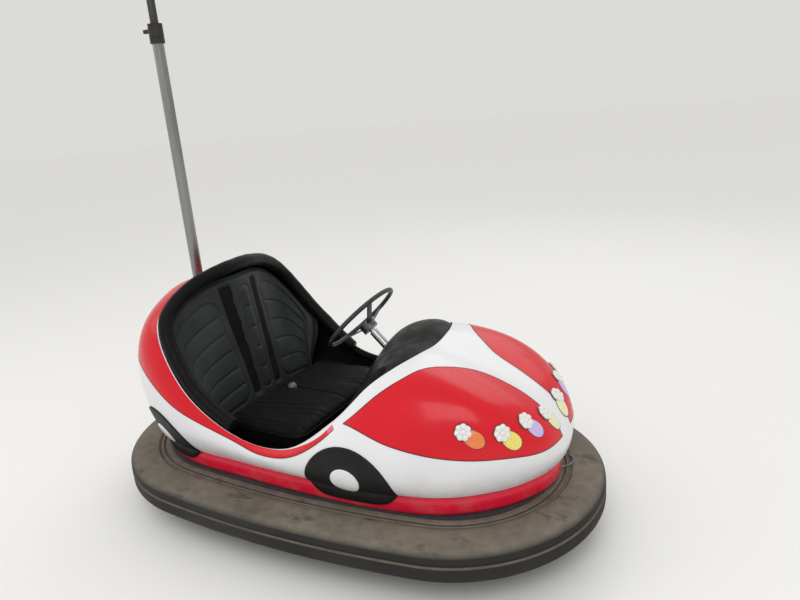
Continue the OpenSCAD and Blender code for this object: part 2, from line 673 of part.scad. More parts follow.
// Fixed rear wheels on pins between plate brackets
bracket_half = rear_width / 2 + 6;
bracket_plate = 6;
bracket_top = frame_top + bracket_plate;
module rear_brackets() {
    wide = 2 * bracket_half + 2 * bracket_plate;
    rear = -pole_behind - tube_size / 2;
    color("slategray") for (side = [-1, 1]) {
        translate([0, 0, frame_top]) linear_extrude(bracket_plate) intersection() {
            ring_area(rim_in + 1);
            translate([rear, side * rear_side - wide / 2])
                square([-rear_behind + bracket_ahead + tube_size / 2 - rear, wide]);
        }
        translate([-rear_behind, side * rear_side, 0]) {
            for (face = [-1, 1]) translate([-25, face * (bracket_half + bracket_plate / 2) - bracket_plate / 2,
                rear_radius - 20]) cube([50, bracket_plate, frame_top - rear_radius + 21]);
            translate([0, -wide / 2, rear_radius]) rotate([-90, 0, 0]) cylinder(r = rear_pin, h = wide);
        }
    }
}
module rear_hub(side) {
    color("gray") translate([-rear_behind, side * rear_side, rear_radius]) rotate([90, 0, 0]) difference() {
        translate([0, 0, -rear_width / 2]) cylinder(r = rear_radius - 18, h = rear_width);
        translate([0, 0, -rear_width]) cylinder(r = rear_pin + run_gap, h = 2 * rear_width);
    }
}
module rear_tyre(side) {
    color("dimgray") translate([-rear_behind, side * rear_side, rear_radius]) rotate([90, 0, 0]) difference() {
        translate([0, 0, -rear_width / 2]) cylinder(r = rear_radius, h = rear_width);
        translate([0, 0, -rear_width]) cylinder(r = rear_radius - 17.98, h = 2 * rear_width);
    }
}
module rear_hub_left() { rear_hub(1); }
module rear_hub_right() { rear_hub(-1); }
module rear_tyre_left() { rear_tyre(1); }
module rear_tyre_right() { rear_tyre(-1); }

// Current pole
module at_pole(z) {
    translate([-pole_behind, 0, z]) children();
}
socket_wall = 6;
module pole_socket() {
    color("slategray") at_pole(frame_top) difference() {
        cylinder(r = pole_radius + socket_wall, h = 140);
        translate([0, 0, 6]) cylinder(r = pole_radius + run_gap, h = 140);
    }
}
module pole_lower() {
    low = frame_top + 6;
    color("silver") at_pole(low) difference() {
        cylinder(r = pole_radius, h = pole_step - low);
        translate([0, 0, -1]) cylinder(r = pole_radius - pole_wall, h = pole_step);
    }
}
module pole_collar() {
    color("dimgray") at_pole(pole_step) {
        difference() {
            translate([0, 0, -40]) cylinder(r = pole_radius + socket_wall, h = 70);
            translate([0, 0, -41]) cylinder(r = pole_radius + run_gap, h = 41);
            translate([0, 0, -2]) cylinder(r = upper_radius + run_gap, h = 40);
        }
        translate([-pole_radius - 40, -6, 0]) cube([40, 12, 14]);
    }
}

// Contact head: an arm on a pin leans forward to the shoe, and a strut props it
arm_rise = 34;
arm_length = 260;
arm_radius = 9;
shoe_thick = 10;
shoe_drop = 22;
pivot_ahead = 40;
pivot_height = contact_height - shoe_thick - shoe_drop - arm_length * sin(arm_rise);
upper_top = pivot_height - 20;
module pole_upper() {
    low = pole_step - 120;
    color("dimgray") at_pole(low) difference() {
        cylinder(r = upper_radius, h = upper_top - low);
        translate([0, 0, -1]) cylinder(r = upper_radius - pole_wall, h = upper_top);
    }
}
trunnion_radius = 4;
head_half = 16;
module contact_head() {
    color("dimgray") difference() {
        at_pole(upper_top) union() {
            translate([0, 0, -60]) cylinder(r = upper_radius + 7, h = 80);
            translate([0, -head_half, -10]) cube([pivot_ahead + 14, 2 * head_half, 44]);
        }
        at_pole(upper_top) translate([0, 0, -61]) cylinder(r = upper_radius + run_gap, h = 61);
        at_pole(upper_top) translate([20, -arm_radius - 0.5, -11]) cube([pivot_ahead, 2 * arm_radius + 1, 46]);
        at_trunnion() cylinder(r = trunnion_radius + run_gap, h = 2 * head_half + 2, center = true);
    }
}
module at_trunnion() {
    at_pole(pivot_height) translate([pivot_ahead, 0, 0]) rotate([90, 0, 0]) children();
}
module on_pivot() {
    at_pole(pivot_height) translate([pivot_ahead, 0, 0]) rotate([0, 90 - arm_rise, 0]) children();
}
module contact_arm() {
    color("dimgray") {
        on_pivot() cylinder(r = arm_radius, h = arm_length);
        at_trunnion() cylinder(r = trunnion_radius, h = 2 * head_half, center = true);
    }
}
// The strut runs from the pole's upper tube to the underside of the arm
strut_share = 0.6;
strut_drop = 150;
strut_radius = 5;
strut_start = [upper_radius + strut_radius + 3, -strut_drop];
strut_end = [pivot_ahead, 0] + strut_share * arm_length * [cos(arm_rise), sin(arm_rise)]
    + (arm_radius + strut_radius + seat_gap) * [sin(arm_rise), -cos(arm_rise)];
module contact_spring() {
    run = strut_end - strut_start;
    color("gray") at_pole(pivot_height) translate([strut_start[0], 0, strut_start[1]]) {
        rotate([0, atan2(run[0], run[1]), 0]) {
            cylinder(r = strut_radius, h = norm(run));
            translate([0, 0, 40]) cylinder(r = strut_radius + 6, h = 120);
        }
        translate([upper_radius + seat_gap - strut_start[0], -strut_radius - 3, -12])
            cube([2 * strut_radius + 6, 2 * strut_radius + 6, 14]);
    }
}
module contact_shoe() {
    ahead = pivot_ahead + arm_length * cos(arm_rise);
    lug = norm([arm_radius * sin(arm_rise), shoe_drop - arm_radius * cos(arm_rise)]) - seat_gap;
    color("goldenrod") at_pole(contact_height - shoe_thick) translate([ahead, 0, 0]) {
        translate([-65, -18, 0]) cube([130, 36, shoe_thick]);
        rotate([90, 0, 0]) cylinder(r = lug, h = 8, center = true);
    }
}

module pedal() {
    color("silver") translate([200, 70, deck_top]) {
        cube([30, 70, 10]);
        rotate([0, -32, 0]) cube([110, 70, 7]);
    }
}
// Wire loop that lies on the rubber beside the nose
loop_turn = 21;
loop_radius = 50;
loop_wire = 2.4;
module nose_catch() {
    color("gray") translate([nose_mid, 0, rubber_top + seat_gap + loop_wire]) rotate([0, 0, loop_turn])
        translate([nose_arc - rubber_breadth + 8, 0, 0]) rotate([0, 0, -90])
            rotate_extrude(angle = 180) translate([loop_radius, 0]) circle(r = loop_wire, $fn = 16);
}

bumper_tyre();
bumper_rim();
floor_pan();
cross_tubes();
nose_body();
tail_body();
wheel_shields();
shield_hubs();
headlamp_rings();
headlamp_discs();
tail_lamp_rings();
tail_lamp_discs();
dash_panel();
bulkhead();
seat_base();
seat_cushion();
seat_back();
seat_roll();
belt_straps();
belt_buckle();
column_tube();
column_foot();
steering_shaft();
steering_hub();
steering_rim();
swivel_plate();
drive_fork();
drive_hub();
drive_tyre();
rear_brackets();
rear_hub_left();
rear_hub_right();
rear_tyre_left();
rear_tyre_right();
pole_socket();
pole_lower();
pole_collar();
pole_upper();
contact_head();
contact_arm();
contact_spring();
contact_shoe();
pedal();
nose_catch();
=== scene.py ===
# Two-seat bumper car with a rubber ring, a moulded body and a roof current pole.
# Everything is in metres. X runs forward, Y to the left, Z up, the floor is at Z = 0.
import math

import bmesh
import bpy
import numpy as np
from mathutils import Matrix, Vector


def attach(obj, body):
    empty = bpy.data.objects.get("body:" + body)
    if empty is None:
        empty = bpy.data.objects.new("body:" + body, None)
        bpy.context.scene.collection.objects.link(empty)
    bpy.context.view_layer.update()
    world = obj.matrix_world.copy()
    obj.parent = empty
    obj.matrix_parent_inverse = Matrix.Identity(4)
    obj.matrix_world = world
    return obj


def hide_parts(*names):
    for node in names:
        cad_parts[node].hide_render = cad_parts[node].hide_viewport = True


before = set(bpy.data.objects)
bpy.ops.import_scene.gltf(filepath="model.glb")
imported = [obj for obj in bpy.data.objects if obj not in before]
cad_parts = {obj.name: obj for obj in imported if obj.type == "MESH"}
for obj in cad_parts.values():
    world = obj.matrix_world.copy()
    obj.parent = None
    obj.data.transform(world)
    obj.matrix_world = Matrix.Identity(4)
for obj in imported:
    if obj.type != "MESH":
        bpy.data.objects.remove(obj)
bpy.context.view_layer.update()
scene = bpy.context.scene
print("frame loaded:", len(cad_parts), "nodes")

cameraSet = {"place": (1.429, -1.997, 1.514), "yaw": -30.03, "pitch": 16.99, "roll": -4.86, "lens": 30.99}


def setCamera(c):
    yaw, pitch, roll = (math.radians(c[k]) for k in ("yaw", "pitch", "roll"))
    ahead = Vector((math.sin(yaw) * math.cos(pitch), math.cos(yaw) * math.cos(pitch), -math.sin(pitch)))
    level = Vector((math.cos(yaw), -math.sin(yaw), 0))
    above = level.cross(ahead)
    right = math.cos(roll) * level + math.sin(roll) * above
    up = -math.sin(roll) * level + math.cos(roll) * above
    data = bpy.data.cameras.new("camera")
    data.lens = c["lens"]
    data.sensor_width = 36
    data.clip_start = 0.05
    cam = bpy.data.objects.new("camera", data)
    scene.collection.objects.link(cam)
    cam.matrix_world = Matrix((
        (right.x, up.x, -ahead.x, c["place"][0]),
        (right.y, up.y, -ahead.y, c["place"][1]),
        (right.z, up.z, -ahead.z, c["place"][2]),
        (0, 0, 0, 1)))
    scene.camera = cam


setCamera(cameraSet)


# Finishes
def srgb(r, g, b):
    return tuple((c / 255 / 12.92) if c <= 10 else ((c / 255 + 0.055) / 1.055) ** 2.4 for c in (r, g, b))


def newFinish(name, colour, rough, metal=0.0, **more):
    mat = bpy.data.materials.new(name)
    mat.use_nodes = True
    shader = mat.node_tree.nodes["Principled BSDF"]
    shader.inputs["Base Color"].default_value = (*colour, 1)
    shader.inputs["Roughness"].default_value = rough
    shader.inputs["Metallic"].default_value = metal
    for key, value in more.items():
        shader.inputs[key.replace("_", " ")].default_value = value
    mat.diffuse_color = (*colour, 1)
    return mat


def objectPlace(mat, texture, stretch=(1, 1, 1)):
    nodes, links = mat.node_tree.nodes, mat.node_tree.links
    coords = nodes.new("ShaderNodeTexCoord")
    mapping = nodes.new("ShaderNodeMapping")
    mapping.inputs["Scale"].default_value = stretch
    links.new(coords.outputs["Object"], mapping.inputs["Vector"])
    links.new(mapping.outputs["Vector"], texture.inputs["Vector"])


def addNoise(mat, scale, detail=3.0, stretch=(1, 1, 1), rough=0.5):
    noise = mat.node_tree.nodes.new("ShaderNodeTexNoise")
    noise.inputs["Scale"].default_value = scale
    noise.inputs["Detail"].default_value = detail
    noise.inputs["Roughness"].default_value = rough
    objectPlace(mat, noise, stretch)
    return noise.outputs["Fac"]


def addCells(mat, scale, feature="F1"):
    cells = mat.node_tree.nodes.new("ShaderNodeTexVoronoi")
    cells.feature = feature
    cells.inputs["Scale"].default_value = scale
    objectPlace(mat, cells)
    return cells.outputs["Distance"]


def addWeave(mat, across, along):
    nodes, links = mat.node_tree.nodes, mat.node_tree.links
    coords = nodes.new("ShaderNodeTexCoord")
    waves = []
    for count, side in ((across, "X"), (along, "Z")):
        wave = nodes.new("ShaderNodeTexWave")
        wave.bands_direction = side
        wave.inputs["Scale"].default_value = count
        links.new(coords.outputs["Object"], wave.inputs["Vector"])
        waves.append(wave.outputs["Fac"])
    return mathNode(mat, "MULTIPLY", *waves)


def mathNode(mat, operation, a, b=0.0):
    node = mat.node_tree.nodes.new("ShaderNodeMath")
    node.operation = operation
    for socket, value in zip(node.inputs, (a, b)):
        if isinstance(value, (int, float)):
            socket.default_value = value
        else:
            mat.node_tree.links.new(value, socket)
    return node.outputs[0]


def ramp(mat, source, low, high, fromValue=0.0, toValue=1.0):
    node = mat.node_tree.nodes.new("ShaderNodeMapRange")
    node.inputs["From Min"].default_value = low
    node.inputs["From Max"].default_value = high
    node.inputs["To Min"].default_value = fromValue
    node.inputs["To Max"].default_value = toValue
    mat.node_tree.links.new(source, node.inputs["Value"])
    return node.outputs["Result"]


def mixColour(mat, share, first, second):
    node = mat.node_tree.nodes.new("ShaderNodeMix")
    node.data_type = "RGBA"
    for index, value in ((0, share), (6, first), (7, second)):
        if isinstance(value, tuple):
            node.inputs[index].default_value = (*value, 1)
        else:
            mat.node_tree.links.new(value, node.inputs[index])
    return node.outputs[2]


def upShare(mat, kind, output, low, high):
    # ramp over the upright part of a direction or a place
    nodes, links = mat.node_tree.nodes, mat.node_tree.links
    source = nodes.new(kind)
    split = nodes.new("ShaderNodeSeparateXYZ")
    links.new(source.outputs[output], split.inputs[0])
    return ramp(mat, split.outputs["Z"], low, high)


def facingUp(mat, low, high):
    return upShare(mat, "ShaderNodeNewGeometry", "Normal", low, high)


def heightShare(mat, low, high):
    return upShare(mat, "ShaderNodeTexCoord", "Object", low, high)


def setSocket(mat, socket, source):
    mat.node_tree.links.new(source, mat.node_tree.nodes["Principled BSDF"].inputs[socket])


def addBumps(mat, *layers):
    last = None
    for height, strength, distance in layers:
        bump = mat.node_tree.nodes.new("ShaderNodeBump")
        bump.inputs["Strength"].default_value = strength
        bump.inputs["Distance"].default_value = distance
        mat.node_tree.links.new(height, bump.inputs["Height"])
        if last:
            mat.node_tree.links.new(last, bump.inputs["Normal"])
        last = bump.outputs["Normal"]
    setSocket(mat, "Normal", last)


paintSet = {"white": srgb(226, 226, 227), "red": srgb(210, 10, 30), "skirt": srgb(224, 26, 58),
            "outline": srgb(100, 4, 20), "dust": srgb(150, 138, 120), "orangePeel": 0.04}


def glossPaint(name, colour, deep, dustTo=0.10):
    # sprayed gelcoat: orange peel, hairline scratches, grime that settles low down
    mat = newFinish(name, colour, 0.26, Coat_Weight=0.14, Coat_Roughness=0.1, Specular_IOR_Level=0.28)
    cloud = addNoise(mat, 3.2, 4)
    shade = mixColour(mat, ramp(mat, cloud, 0.35, 0.7, 0.0, 0.55), colour, deep)
    grime = mathNode(mat, "MULTIPLY", ramp(mat, addNoise(mat, 14, 6), 0.45, 0.75),
                     heightShare(mat, 0.42, 0.22))
    grime = mathNode(mat, "MULTIPLY", grime, dustTo * 4)
    setSocket(mat, "Base Color", mixColour(mat, grime, shade, paintSet["dust"]))
    scratch = addNoise(mat, 60, 2, (1, 1, 14))
    setSocket(mat, "Roughness", ramp(mat, scratch, 0.3, 0.8, 0.17, 0.36))
    addBumps(mat, (addNoise(mat, 90, 2), paintSet["orangePeel"], 0.001),
             (addNoise(mat, 7, 1), 0.1, 0.003))
    return mat


whitePaint = glossPaint("whitePaint", paintSet["white"], srgb(212, 213, 216))
redPaint = glossPaint("redPaint", paintSet["red"], srgb(196, 7, 28), 0.04)
skirtPaint = glossPaint("skirtPaint", paintSet["skirt"], srgb(190, 14, 44), 0.06)
outlinePaint = newFinish("outlinePaint", paintSet["outline"], 0.35)
addBumps(outlinePaint, (addNoise(outlinePaint, 200, 2), 0.2, 0.001))
# painted highlight: pale pink that stands for light on the end of the cockpit strip
stripEndHighlight = glossPaint("stripEndHighlight", srgb(226, 96, 128), srgb(206, 70, 106), 0.04)

# painted shadow: near black for the shadow line in the groove under the ledge lip
lipShadowBlack = newFinish("lipShadowBlack", srgb(16, 12, 13), 0.7)
addBumps(lipShadowBlack, (addNoise(lipShadowBlack, 120, 3), 0.3, 0.001))


def mouldedPlastic(name, colour, worn, rough, grainSize=420, strength=0.25, shine=0.3):
    mat = newFinish(name, colour, rough, Specular_IOR_Level=shine)
    wear = ramp(mat, addNoise(mat, 9, 5), 0.4, 0.75, 0, 0.8)
    setSocket(mat, "Base Color", mixColour(mat, wear, colour, worn))
    setSocket(mat, "Roughness", ramp(mat, addNoise(mat, 22, 5), 0.3, 0.75, rough - 0.1, rough + 0.14))
    addBumps(mat, (addCells(mat, grainSize), strength, 0.0006), (addNoise(mat, 12, 2), 0.15, 0.003))
    return mat


shieldBlack = mouldedPlastic("shieldBlack", srgb(10, 10, 11), srgb(24, 23, 24), 0.55)
hubWhite = glossPaint("hubWhite", srgb(228, 228, 228), srgb(206, 206, 206))
dashPlastic = mouldedPlastic("dashPlastic", srgb(7, 7, 7), srgb(15, 15, 14), 0.44, 520, 0.18, 0.16)
innerPlastic = mouldedPlastic("innerPlastic", srgb(11, 11, 12), srgb(25, 24, 23), 0.6, shine=0.15)
footPlastic = mouldedPlastic("footPlastic", srgb(24, 24, 25), srgb(46, 43, 40), 0.62)


def rubberFinish(name, clean, dusty, amount):
    # dust lies on what faces up, scuffs and fine cracks run through it
    mat = newFinish(name, clean, 0.7, Specular_IOR_Level=0.35)
    patch = ramp(mat, addNoise(mat, 2.6, 8, rough=0.6), 0.34, 0.62)
    fine = ramp(mat, addNoise(mat, 24, 8), 0.3, 0.7, 0.7, 1.0)
    lying = mathNode(mat, "MULTIPLY", mathNode(mat, "MULTIPLY", facingUp(mat, 0.25, 0.95), fine),
                     mathNode(mat, "ADD", mathNode(mat, "MULTIPLY", patch, 0.5), 0.5))
    dust = mathNode(mat, "MULTIPLY", lying, amount)
    base = mixColour(mat, dust, clean, dusty)
    scuff = ramp(mat, addNoise(mat, 6, 9, (1, 2.2, 2.5), 0.68), 0.58, 0.66)
    base = mixColour(mat, mathNode(mat, "MULTIPLY", scuff, 0.55), base, srgb(38, 36, 36))
    crack = ramp(mat, addCells(mat, 26, "DISTANCE_TO_EDGE"), 0.0, 0.035, 1.0, 0.0)
    crack = mathNode(mat, "MULTIPLY", crack, ramp(mat, addNoise(mat, 5, 3), 0.6, 0.74))
    base = mixColour(mat, mathNode(mat, "MULTIPLY", crack, 0.3), base, srgb(26, 24, 23))
    setSocket(mat, "Base Color", base)
    setSocket(mat, "Roughness", ramp(mat, patch, 0, 1, 0.58, 0.86))
    addBumps(mat, (crack, 0.35, -0.0015), (addNoise(mat, 160, 5), 0.35, 0.001),
             (addNoise(mat, 9, 4), 0.25, 0.006))
    return mat


ringRubber = rubberFinish("ringRubber", srgb(38, 36, 35), srgb(134, 125, 111), 0.85)
tyreRubber = rubberFinish("tyreRubber", srgb(38, 37, 37), srgb(96, 90, 82), 0.5)


def vinylFinish(name, colour, worn, rough, shine=0.28):
    # leathercloth: cell grain, creases, a soft worn sheen
    mat = newFinish(name, colour, rough, Specular_IOR_Level=shine, Sheen_Weight=0.02)
    wear = ramp(mat, addNoise(mat, 6.5, 6), 0.42, 0.72)
    setSocket(mat, "Base Color", mixColour(mat, wear, colour, worn))
    setSocket(mat, "Roughness", ramp(mat, addNoise(mat, 17, 5), 0.3, 0.72, rough - 0.1, rough + 0.15))
    grain = addCells(mat, 330, "DISTANCE_TO_EDGE")
    addBumps(mat, (ramp(mat, grain, 0.0, 0.12), 0.35, 0.0007), (addNoise(mat, 45, 4), 0.3, 0.0015),
             (addNoise(mat, 8, 3, (1, 1, 1)), 0.25, 0.004))
    return mat


seatVinyl = vinylFinish("seatVinyl", srgb(34, 39, 36), srgb(48, 55, 50), 0.46)
cushionVinyl = vinylFinish("cushionVinyl", srgb(5, 5, 6), srgb(12, 12, 13), 0.52, 0.12)
rollVinyl = vinylFinish("rollVinyl", srgb(4, 4, 5), srgb(9, 9, 10), 0.38, 0.14)

beltWebbing = newFinish("beltWebbing", srgb(8, 8, 9), 0.8, Specular_IOR_Level=0.2)
setSocket(beltWebbing, "Base Color", mixColour(beltWebbing, ramp(beltWebbing, addNoise(beltWebbing, 16, 5),
          0.35, 0.7), srgb(7, 7, 8), srgb(15, 15, 16)))
addBumps(beltWebbing, (addWeave(beltWebbing, 190, 230), 0.6, 0.0008))


def metalFinish(name, colour, stain, rough, metal=1.0, streak=(1, 1, 0.15), amount=0.5, bump=0.12):
    mat = newFinish(name, colour, rough, metal)
    spots = ramp(mat, addNoise(mat, 11, 7, streak, 0.65), 0.48, 0.72, 0, amount)
    setSocket(mat, "Base Color", mixColour(mat, spots, colour, stain))
    setSocket(mat, "Roughness", ramp(mat, addNoise(mat, 30, 5, streak), 0.3, 0.75, rough * 0.7, rough * 1.45))
    addBumps(mat, (addNoise(mat, 150, 4, streak), bump, 0.001), (addNoise(mat, 20, 3, streak), bump, 0.002))
    return mat


chromeSteel = metalFinish("chromeSteel", srgb(172, 174, 178), srgb(108, 104, 98), 0.26, amount=0.35,
                          bump=0.04)
poleSteel = metalFinish("poleSteel", srgb(150, 152, 152), srgb(92, 86, 78), 0.42, amount=0.75)
poleDark = metalFinish("poleDark", srgb(84, 84, 84), srgb(54, 48, 43), 0.5, amount=0.6)
castIron = metalFinish("castIron", srgb(58, 58, 60), srgb(76, 58, 44), 0.6, 0.7, (1, 1, 1), 0.6, 0.4)
hubIron = metalFinish("hubIron", srgb(120, 120, 120), srgb(78, 66, 56), 0.48, 0.8, (1, 1, 1), 0.6, 0.3)
framePaint = metalFinish("framePaint", srgb(58, 62, 68), srgb(86, 70, 56), 0.5, 0.1, (1, 1, 1), 0.5, 0.25)
shoeBrass = metalFinish("shoeBrass", srgb(184, 140, 74), srgb(84, 62, 40), 0.36, 1.0, (1, 0.3, 1), 0.6, 0.2)
treadAluminium = metalFinish("treadAluminium", srgb(170, 172, 174), srgb(96, 92, 86), 0.4, 0.9, (1, 1, 1))
wheelRubber = mouldedPlastic("wheelRubber", srgb(46, 47, 50), srgb(84, 86, 90), 0.42, 600, 0.3)
wheelIron = metalFinish("wheelIron", srgb(96, 98, 102), srgb(52, 50, 50), 0.36, 0.8, (1, 1, 1), 0.5, 0.15)


def lampFinish(name, colour, glow, strength, rough=0.12):
    mat = newFinish(name, colour, rough, Coat_Weight=0.8, Coat_Roughness=0.04,
                    Emission_Color=(*glow, 1), Emission_Strength=strength)
    ripple = addCells(mat, 130)
    bright = tuple(min(1, c * 1.2) for c in colour)
    setSocket(mat, "Base Color", mixColour(mat, ramp(mat, ripple, 0, 0.6), colour, bright))
    addBumps(mat, (ripple, 0.5, 0.001))
    return mat


ledWhite = lampFinish("ledWhite", srgb(196, 197, 193), srgb(255, 252, 244), 0.1)
lensOrange = lampFinish("lensOrange", srgb(208, 110, 50), srgb(240, 120, 40), 0.06)
lensYellow = lampFinish("lensYellow", srgb(208, 194, 98), srgb(250, 214, 60), 0.08)
lensViolet = lampFinish("lensViolet", srgb(178, 160, 204), srgb(180, 150, 240), 0.06)
lensCream = lampFinish("lensCream", srgb(204, 202, 160), srgb(236, 230, 170), 0.08)
lensRed = lampFinish("lensRed", srgb(190, 30, 26), srgb(200, 20, 16), 0.15)
lampRim = newFinish("lampRim", srgb(96, 10, 22), 0.3, Coat_Weight=0.5)
addBumps(lampRim, (addNoise(lampRim, 160, 2), 0.2, 0.001))
print("finishes made")


# Body form, by the same curves as the construction
# Stations from the nose (0) round the right side to the tail (10), in millimetres:
# ledge x, y | lower bulge x, y, z | upper bulge x, y, z | rim x, y, z
bodyStations = np.array([
    [835, 0, 930, 0, 400, 820, 0, 575, 404, 0, 660],
    [795, -130, 895, -155, 400, 845, -185, 585, 398, -120, 668],
    [700, -250, 775, -290, 390, 750, -300, 635, 360, -230, 655],
    [540, -350, 585, -410, 370, 500, -385, 560, 306, -312, 617],
    [300, -395, 310, -455, 340, 270, -445, 470, 195, -375, 504],
    [20, -405, 20, -455, 330, 20, -455, 380, 20, -415, 395],
    [-240, -400, -240, -455, 350, -230, -460, 400, -200, -425, 415],
    [-480, -385, -500, -460, 380, -460, -475, 520, -400, -430, 560],
    [-660, -310, -740, -370, 420, -680, -400, 740, -540, -365, 760],
    [-780, -170, -870, -190, 430, -820, -200, 840, -530, -200, 870],
    [-820, 0, -910, 0, 430, -840, 0, 860, -490, 0, 895]]) / 1000
bodySet = {"ledge": 0.290, "skirtLow": 0.218, "noseWall": 0.008, "cockpitWall": 0.026,
           "scoopDepth": 0.070, "scoopHalf": 0.150, "rimRound": 0.003}


def stationAt(i):
    i = np.mod(i, 20)
    rows = bodyStations[np.minimum(i, 20 - i)]
    flip = np.array([1, -1, 1, -1, 1, 1, -1, 1, 1, -1, 1])
    return np.where((i > 10)[..., None], rows * flip, rows)


def spline(a, b, c, d, u):
    # smooth line from b to c, with its neighbours a and d
    return 0.5 * (2 * b + (c - a) * u + (2 * a - 5 * b + 4 * c - d) * u ** 2
                  + (3 * b - a - 3 * c + d) * u ** 3)


def netRow(v):
    i = np.floor(v).astype(int)
    u = (v - i)[..., None]
    return spline(*(stationAt(i + k) for k in (-1, 0, 1, 2)), u)


def smoothStep(t):
    t = np.clip(t, 0, 1)
    return t * t * (3 - 2 * t)


def bezier(a, b, c, d, t):
    return (1 - t) ** 3 * a + 3 * t * (1 - t) ** 2 * b + 3 * t ** 2 * (1 - t) * c + t ** 3 * d


def skin(v, w):
    v, w = np.broadcast_arrays(np.asarray(v, float), np.asarray(w, float))
    n = netRow(v)
    ledge = np.stack([n[..., 0], n[..., 1], np.full(v.shape, bodySet["ledge"])], -1)
    p = bezier(ledge, n[..., 2:5], n[..., 5:8], n[..., 8:11], w[..., None])
    dip = smoothStep(1 - np.abs(p[..., 1]) / bodySet["scoopHalf"]) * smoothStep((w - 0.42) / 0.25)
    p[..., 2] -= np.where(p[..., 0] > 0, 0, bodySet["scoopDepth"] * dip * smoothStep((1 - w) / 0.1))
    return p


def unit(a):
    return a / np.linalg.norm(a, axis=-1, keepdims=True)


def outward(v, w):
    v, w = np.broadcast_arrays(np.asarray(v, float), np.asarray(w, float))
    up = skin(v, np.minimum(1, w + 0.02)) - skin(v, np.maximum(0, w - 0.02))
    return unit(np.cross(up, skin(v + 0.02, w) - skin(v - 0.02, w)))


def lifted(v, w, d):
    return skin(v, w) + np.asarray(d)[..., None] * outward(v, w)


def planOut(v):
    d = netRow(v + 0.02) - netRow(v - 0.02)
    return unit(np.stack([-d[..., 1], d[..., 0], np.zeros(v.shape)], -1))


def wallAt(v):
    far = np.abs(np.mod(v + 10, 20) - 10)
    return bodySet["noseWall"] + (bodySet["cockpitWall"] - bodySet["noseWall"]) \
        * smoothStep((far - 4) / 1.2) * smoothStep((8.5 - far) / 1.5)


def rimFrame(v):
    along = unit(skin(v + 0.02, 1) - skin(v - 0.02, 1))
    out = outward(v, 1)
    return along, out, unit(np.cross(along, out))


def placedOn(x, z, v, w, plane=0):
    # place on the right-hand skin square off a point of an upright plane, which is turned by some
    # degrees about the vertical; found by a few Newton steps
    x, z = np.broadcast_arrays(np.asarray(x, float), np.asarray(z, float))
    v = np.full(x.shape, float(v)) if np.ndim(v) == 0 else np.array(v, float)
    w = np.full(x.shape, float(w))
    lean = math.radians(plane)
    ahead = np.array([math.cos(lean), math.sin(lean), 0])
    for step in range(12):
        p = skin(v, w)
        a = (skin(v + 0.02, w) - p) / 0.02
        b = (skin(v, w + 0.02) - p) / 0.02
        au, bu = a @ ahead, b @ ahead
        det = au * b[..., 2] - a[..., 2] * bu
        eu, ez = x - p @ ahead, z - p[..., 2]
        v = v + (eu * b[..., 2] - ez * bu) / det
        w = np.clip(w + (au * ez - a[..., 2] * eu) / det, 0, 0.96)
    return v, w


# Mesh helpers
def makePiece(name, verts, faces, finishes, body="chassis", faceFinish=None, sharp=None):
    mesh = bpy.data.meshes.new(name)
    mesh.from_pydata([tuple(map(float, p)) for p in verts], [], [tuple(map(int, f)) for f in faces])
    for finish in finishes if isinstance(finishes, (list, tuple)) else [finishes]:
        mesh.materials.append(finish)
    if faceFinish is not None:
        mesh.polygons.foreach_set("material_index", np.asarray(faceFinish, np.int32))
    mesh.validate()
    mesh.polygons.foreach_set("use_smooth", np.ones(len(mesh.polygons), bool))
    if sharp:
        mesh.set_sharp_from_angle(angle=math.radians(sharp))
    piece = bpy.data.objects.new(name, mesh)
    scene.collection.objects.link(piece)
    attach(piece, body)
    return piece


def gridFaces(cols, rows, closeCols=False, closeRows=False, flip=False):
    i = np.arange(cols if closeCols else cols - 1)[:, None]
    j = np.arange(rows if closeRows else rows - 1)[None, :]
    i2, j2 = (i + 1) % cols, (j + 1) % rows
    quads = np.stack([i * rows + j, i2 * rows + j, i2 * rows + j2, i * rows + j2], -1).reshape(-1, 4)
    return quads[:, ::-1] if flip else quads


def gridPiece(name, points, finishes, body="chassis", closeCols=False, closeRows=False, flip=False,
              rowFinish=None, sharp=None):
    cols, rows = points.shape[:2]
    faces = gridFaces(cols, rows, closeCols, closeRows, flip)
    marks = None
    if rowFinish is not None:
        marks = np.tile(np.asarray(rowFinish), cols if closeCols else cols - 1)
    return makePiece(name, points.reshape(-1, 3), faces, finishes, body, marks, sharp)


def mirrored(points):
    return points * np.array([1, -1, 1])


def bothSides(name, grid, finish, flip=False):
    # a right-hand piece and its mirror image
    return [gridPiece(name, grid, finish, flip=flip), gridPiece(name, mirrored(grid), finish, flip=not flip)]


def through(points, count):
    # smooth line through a few chosen points, evenly spaced
    p = np.array(points, float)
    p = np.vstack([2 * p[0] - p[1], p, 2 * p[-1] - p[-2]])
    fine = []
    for k in range(1, len(p) - 2):
        u = np.linspace(0, 1, 40, endpoint=False)[:, None]
        fine.append(spline(*p[k - 1:k + 3], u))
    fine = np.vstack(fine + [p[-2:-1]])
    run = np.concatenate([[0], np.cumsum(np.linalg.norm(np.diff(fine, axis=0), axis=1))])
    at = np.linspace(0, run[-1], count)
    return np.stack([np.interp(at, run, fine[:, k]) for k in range(p.shape[1])], 1)


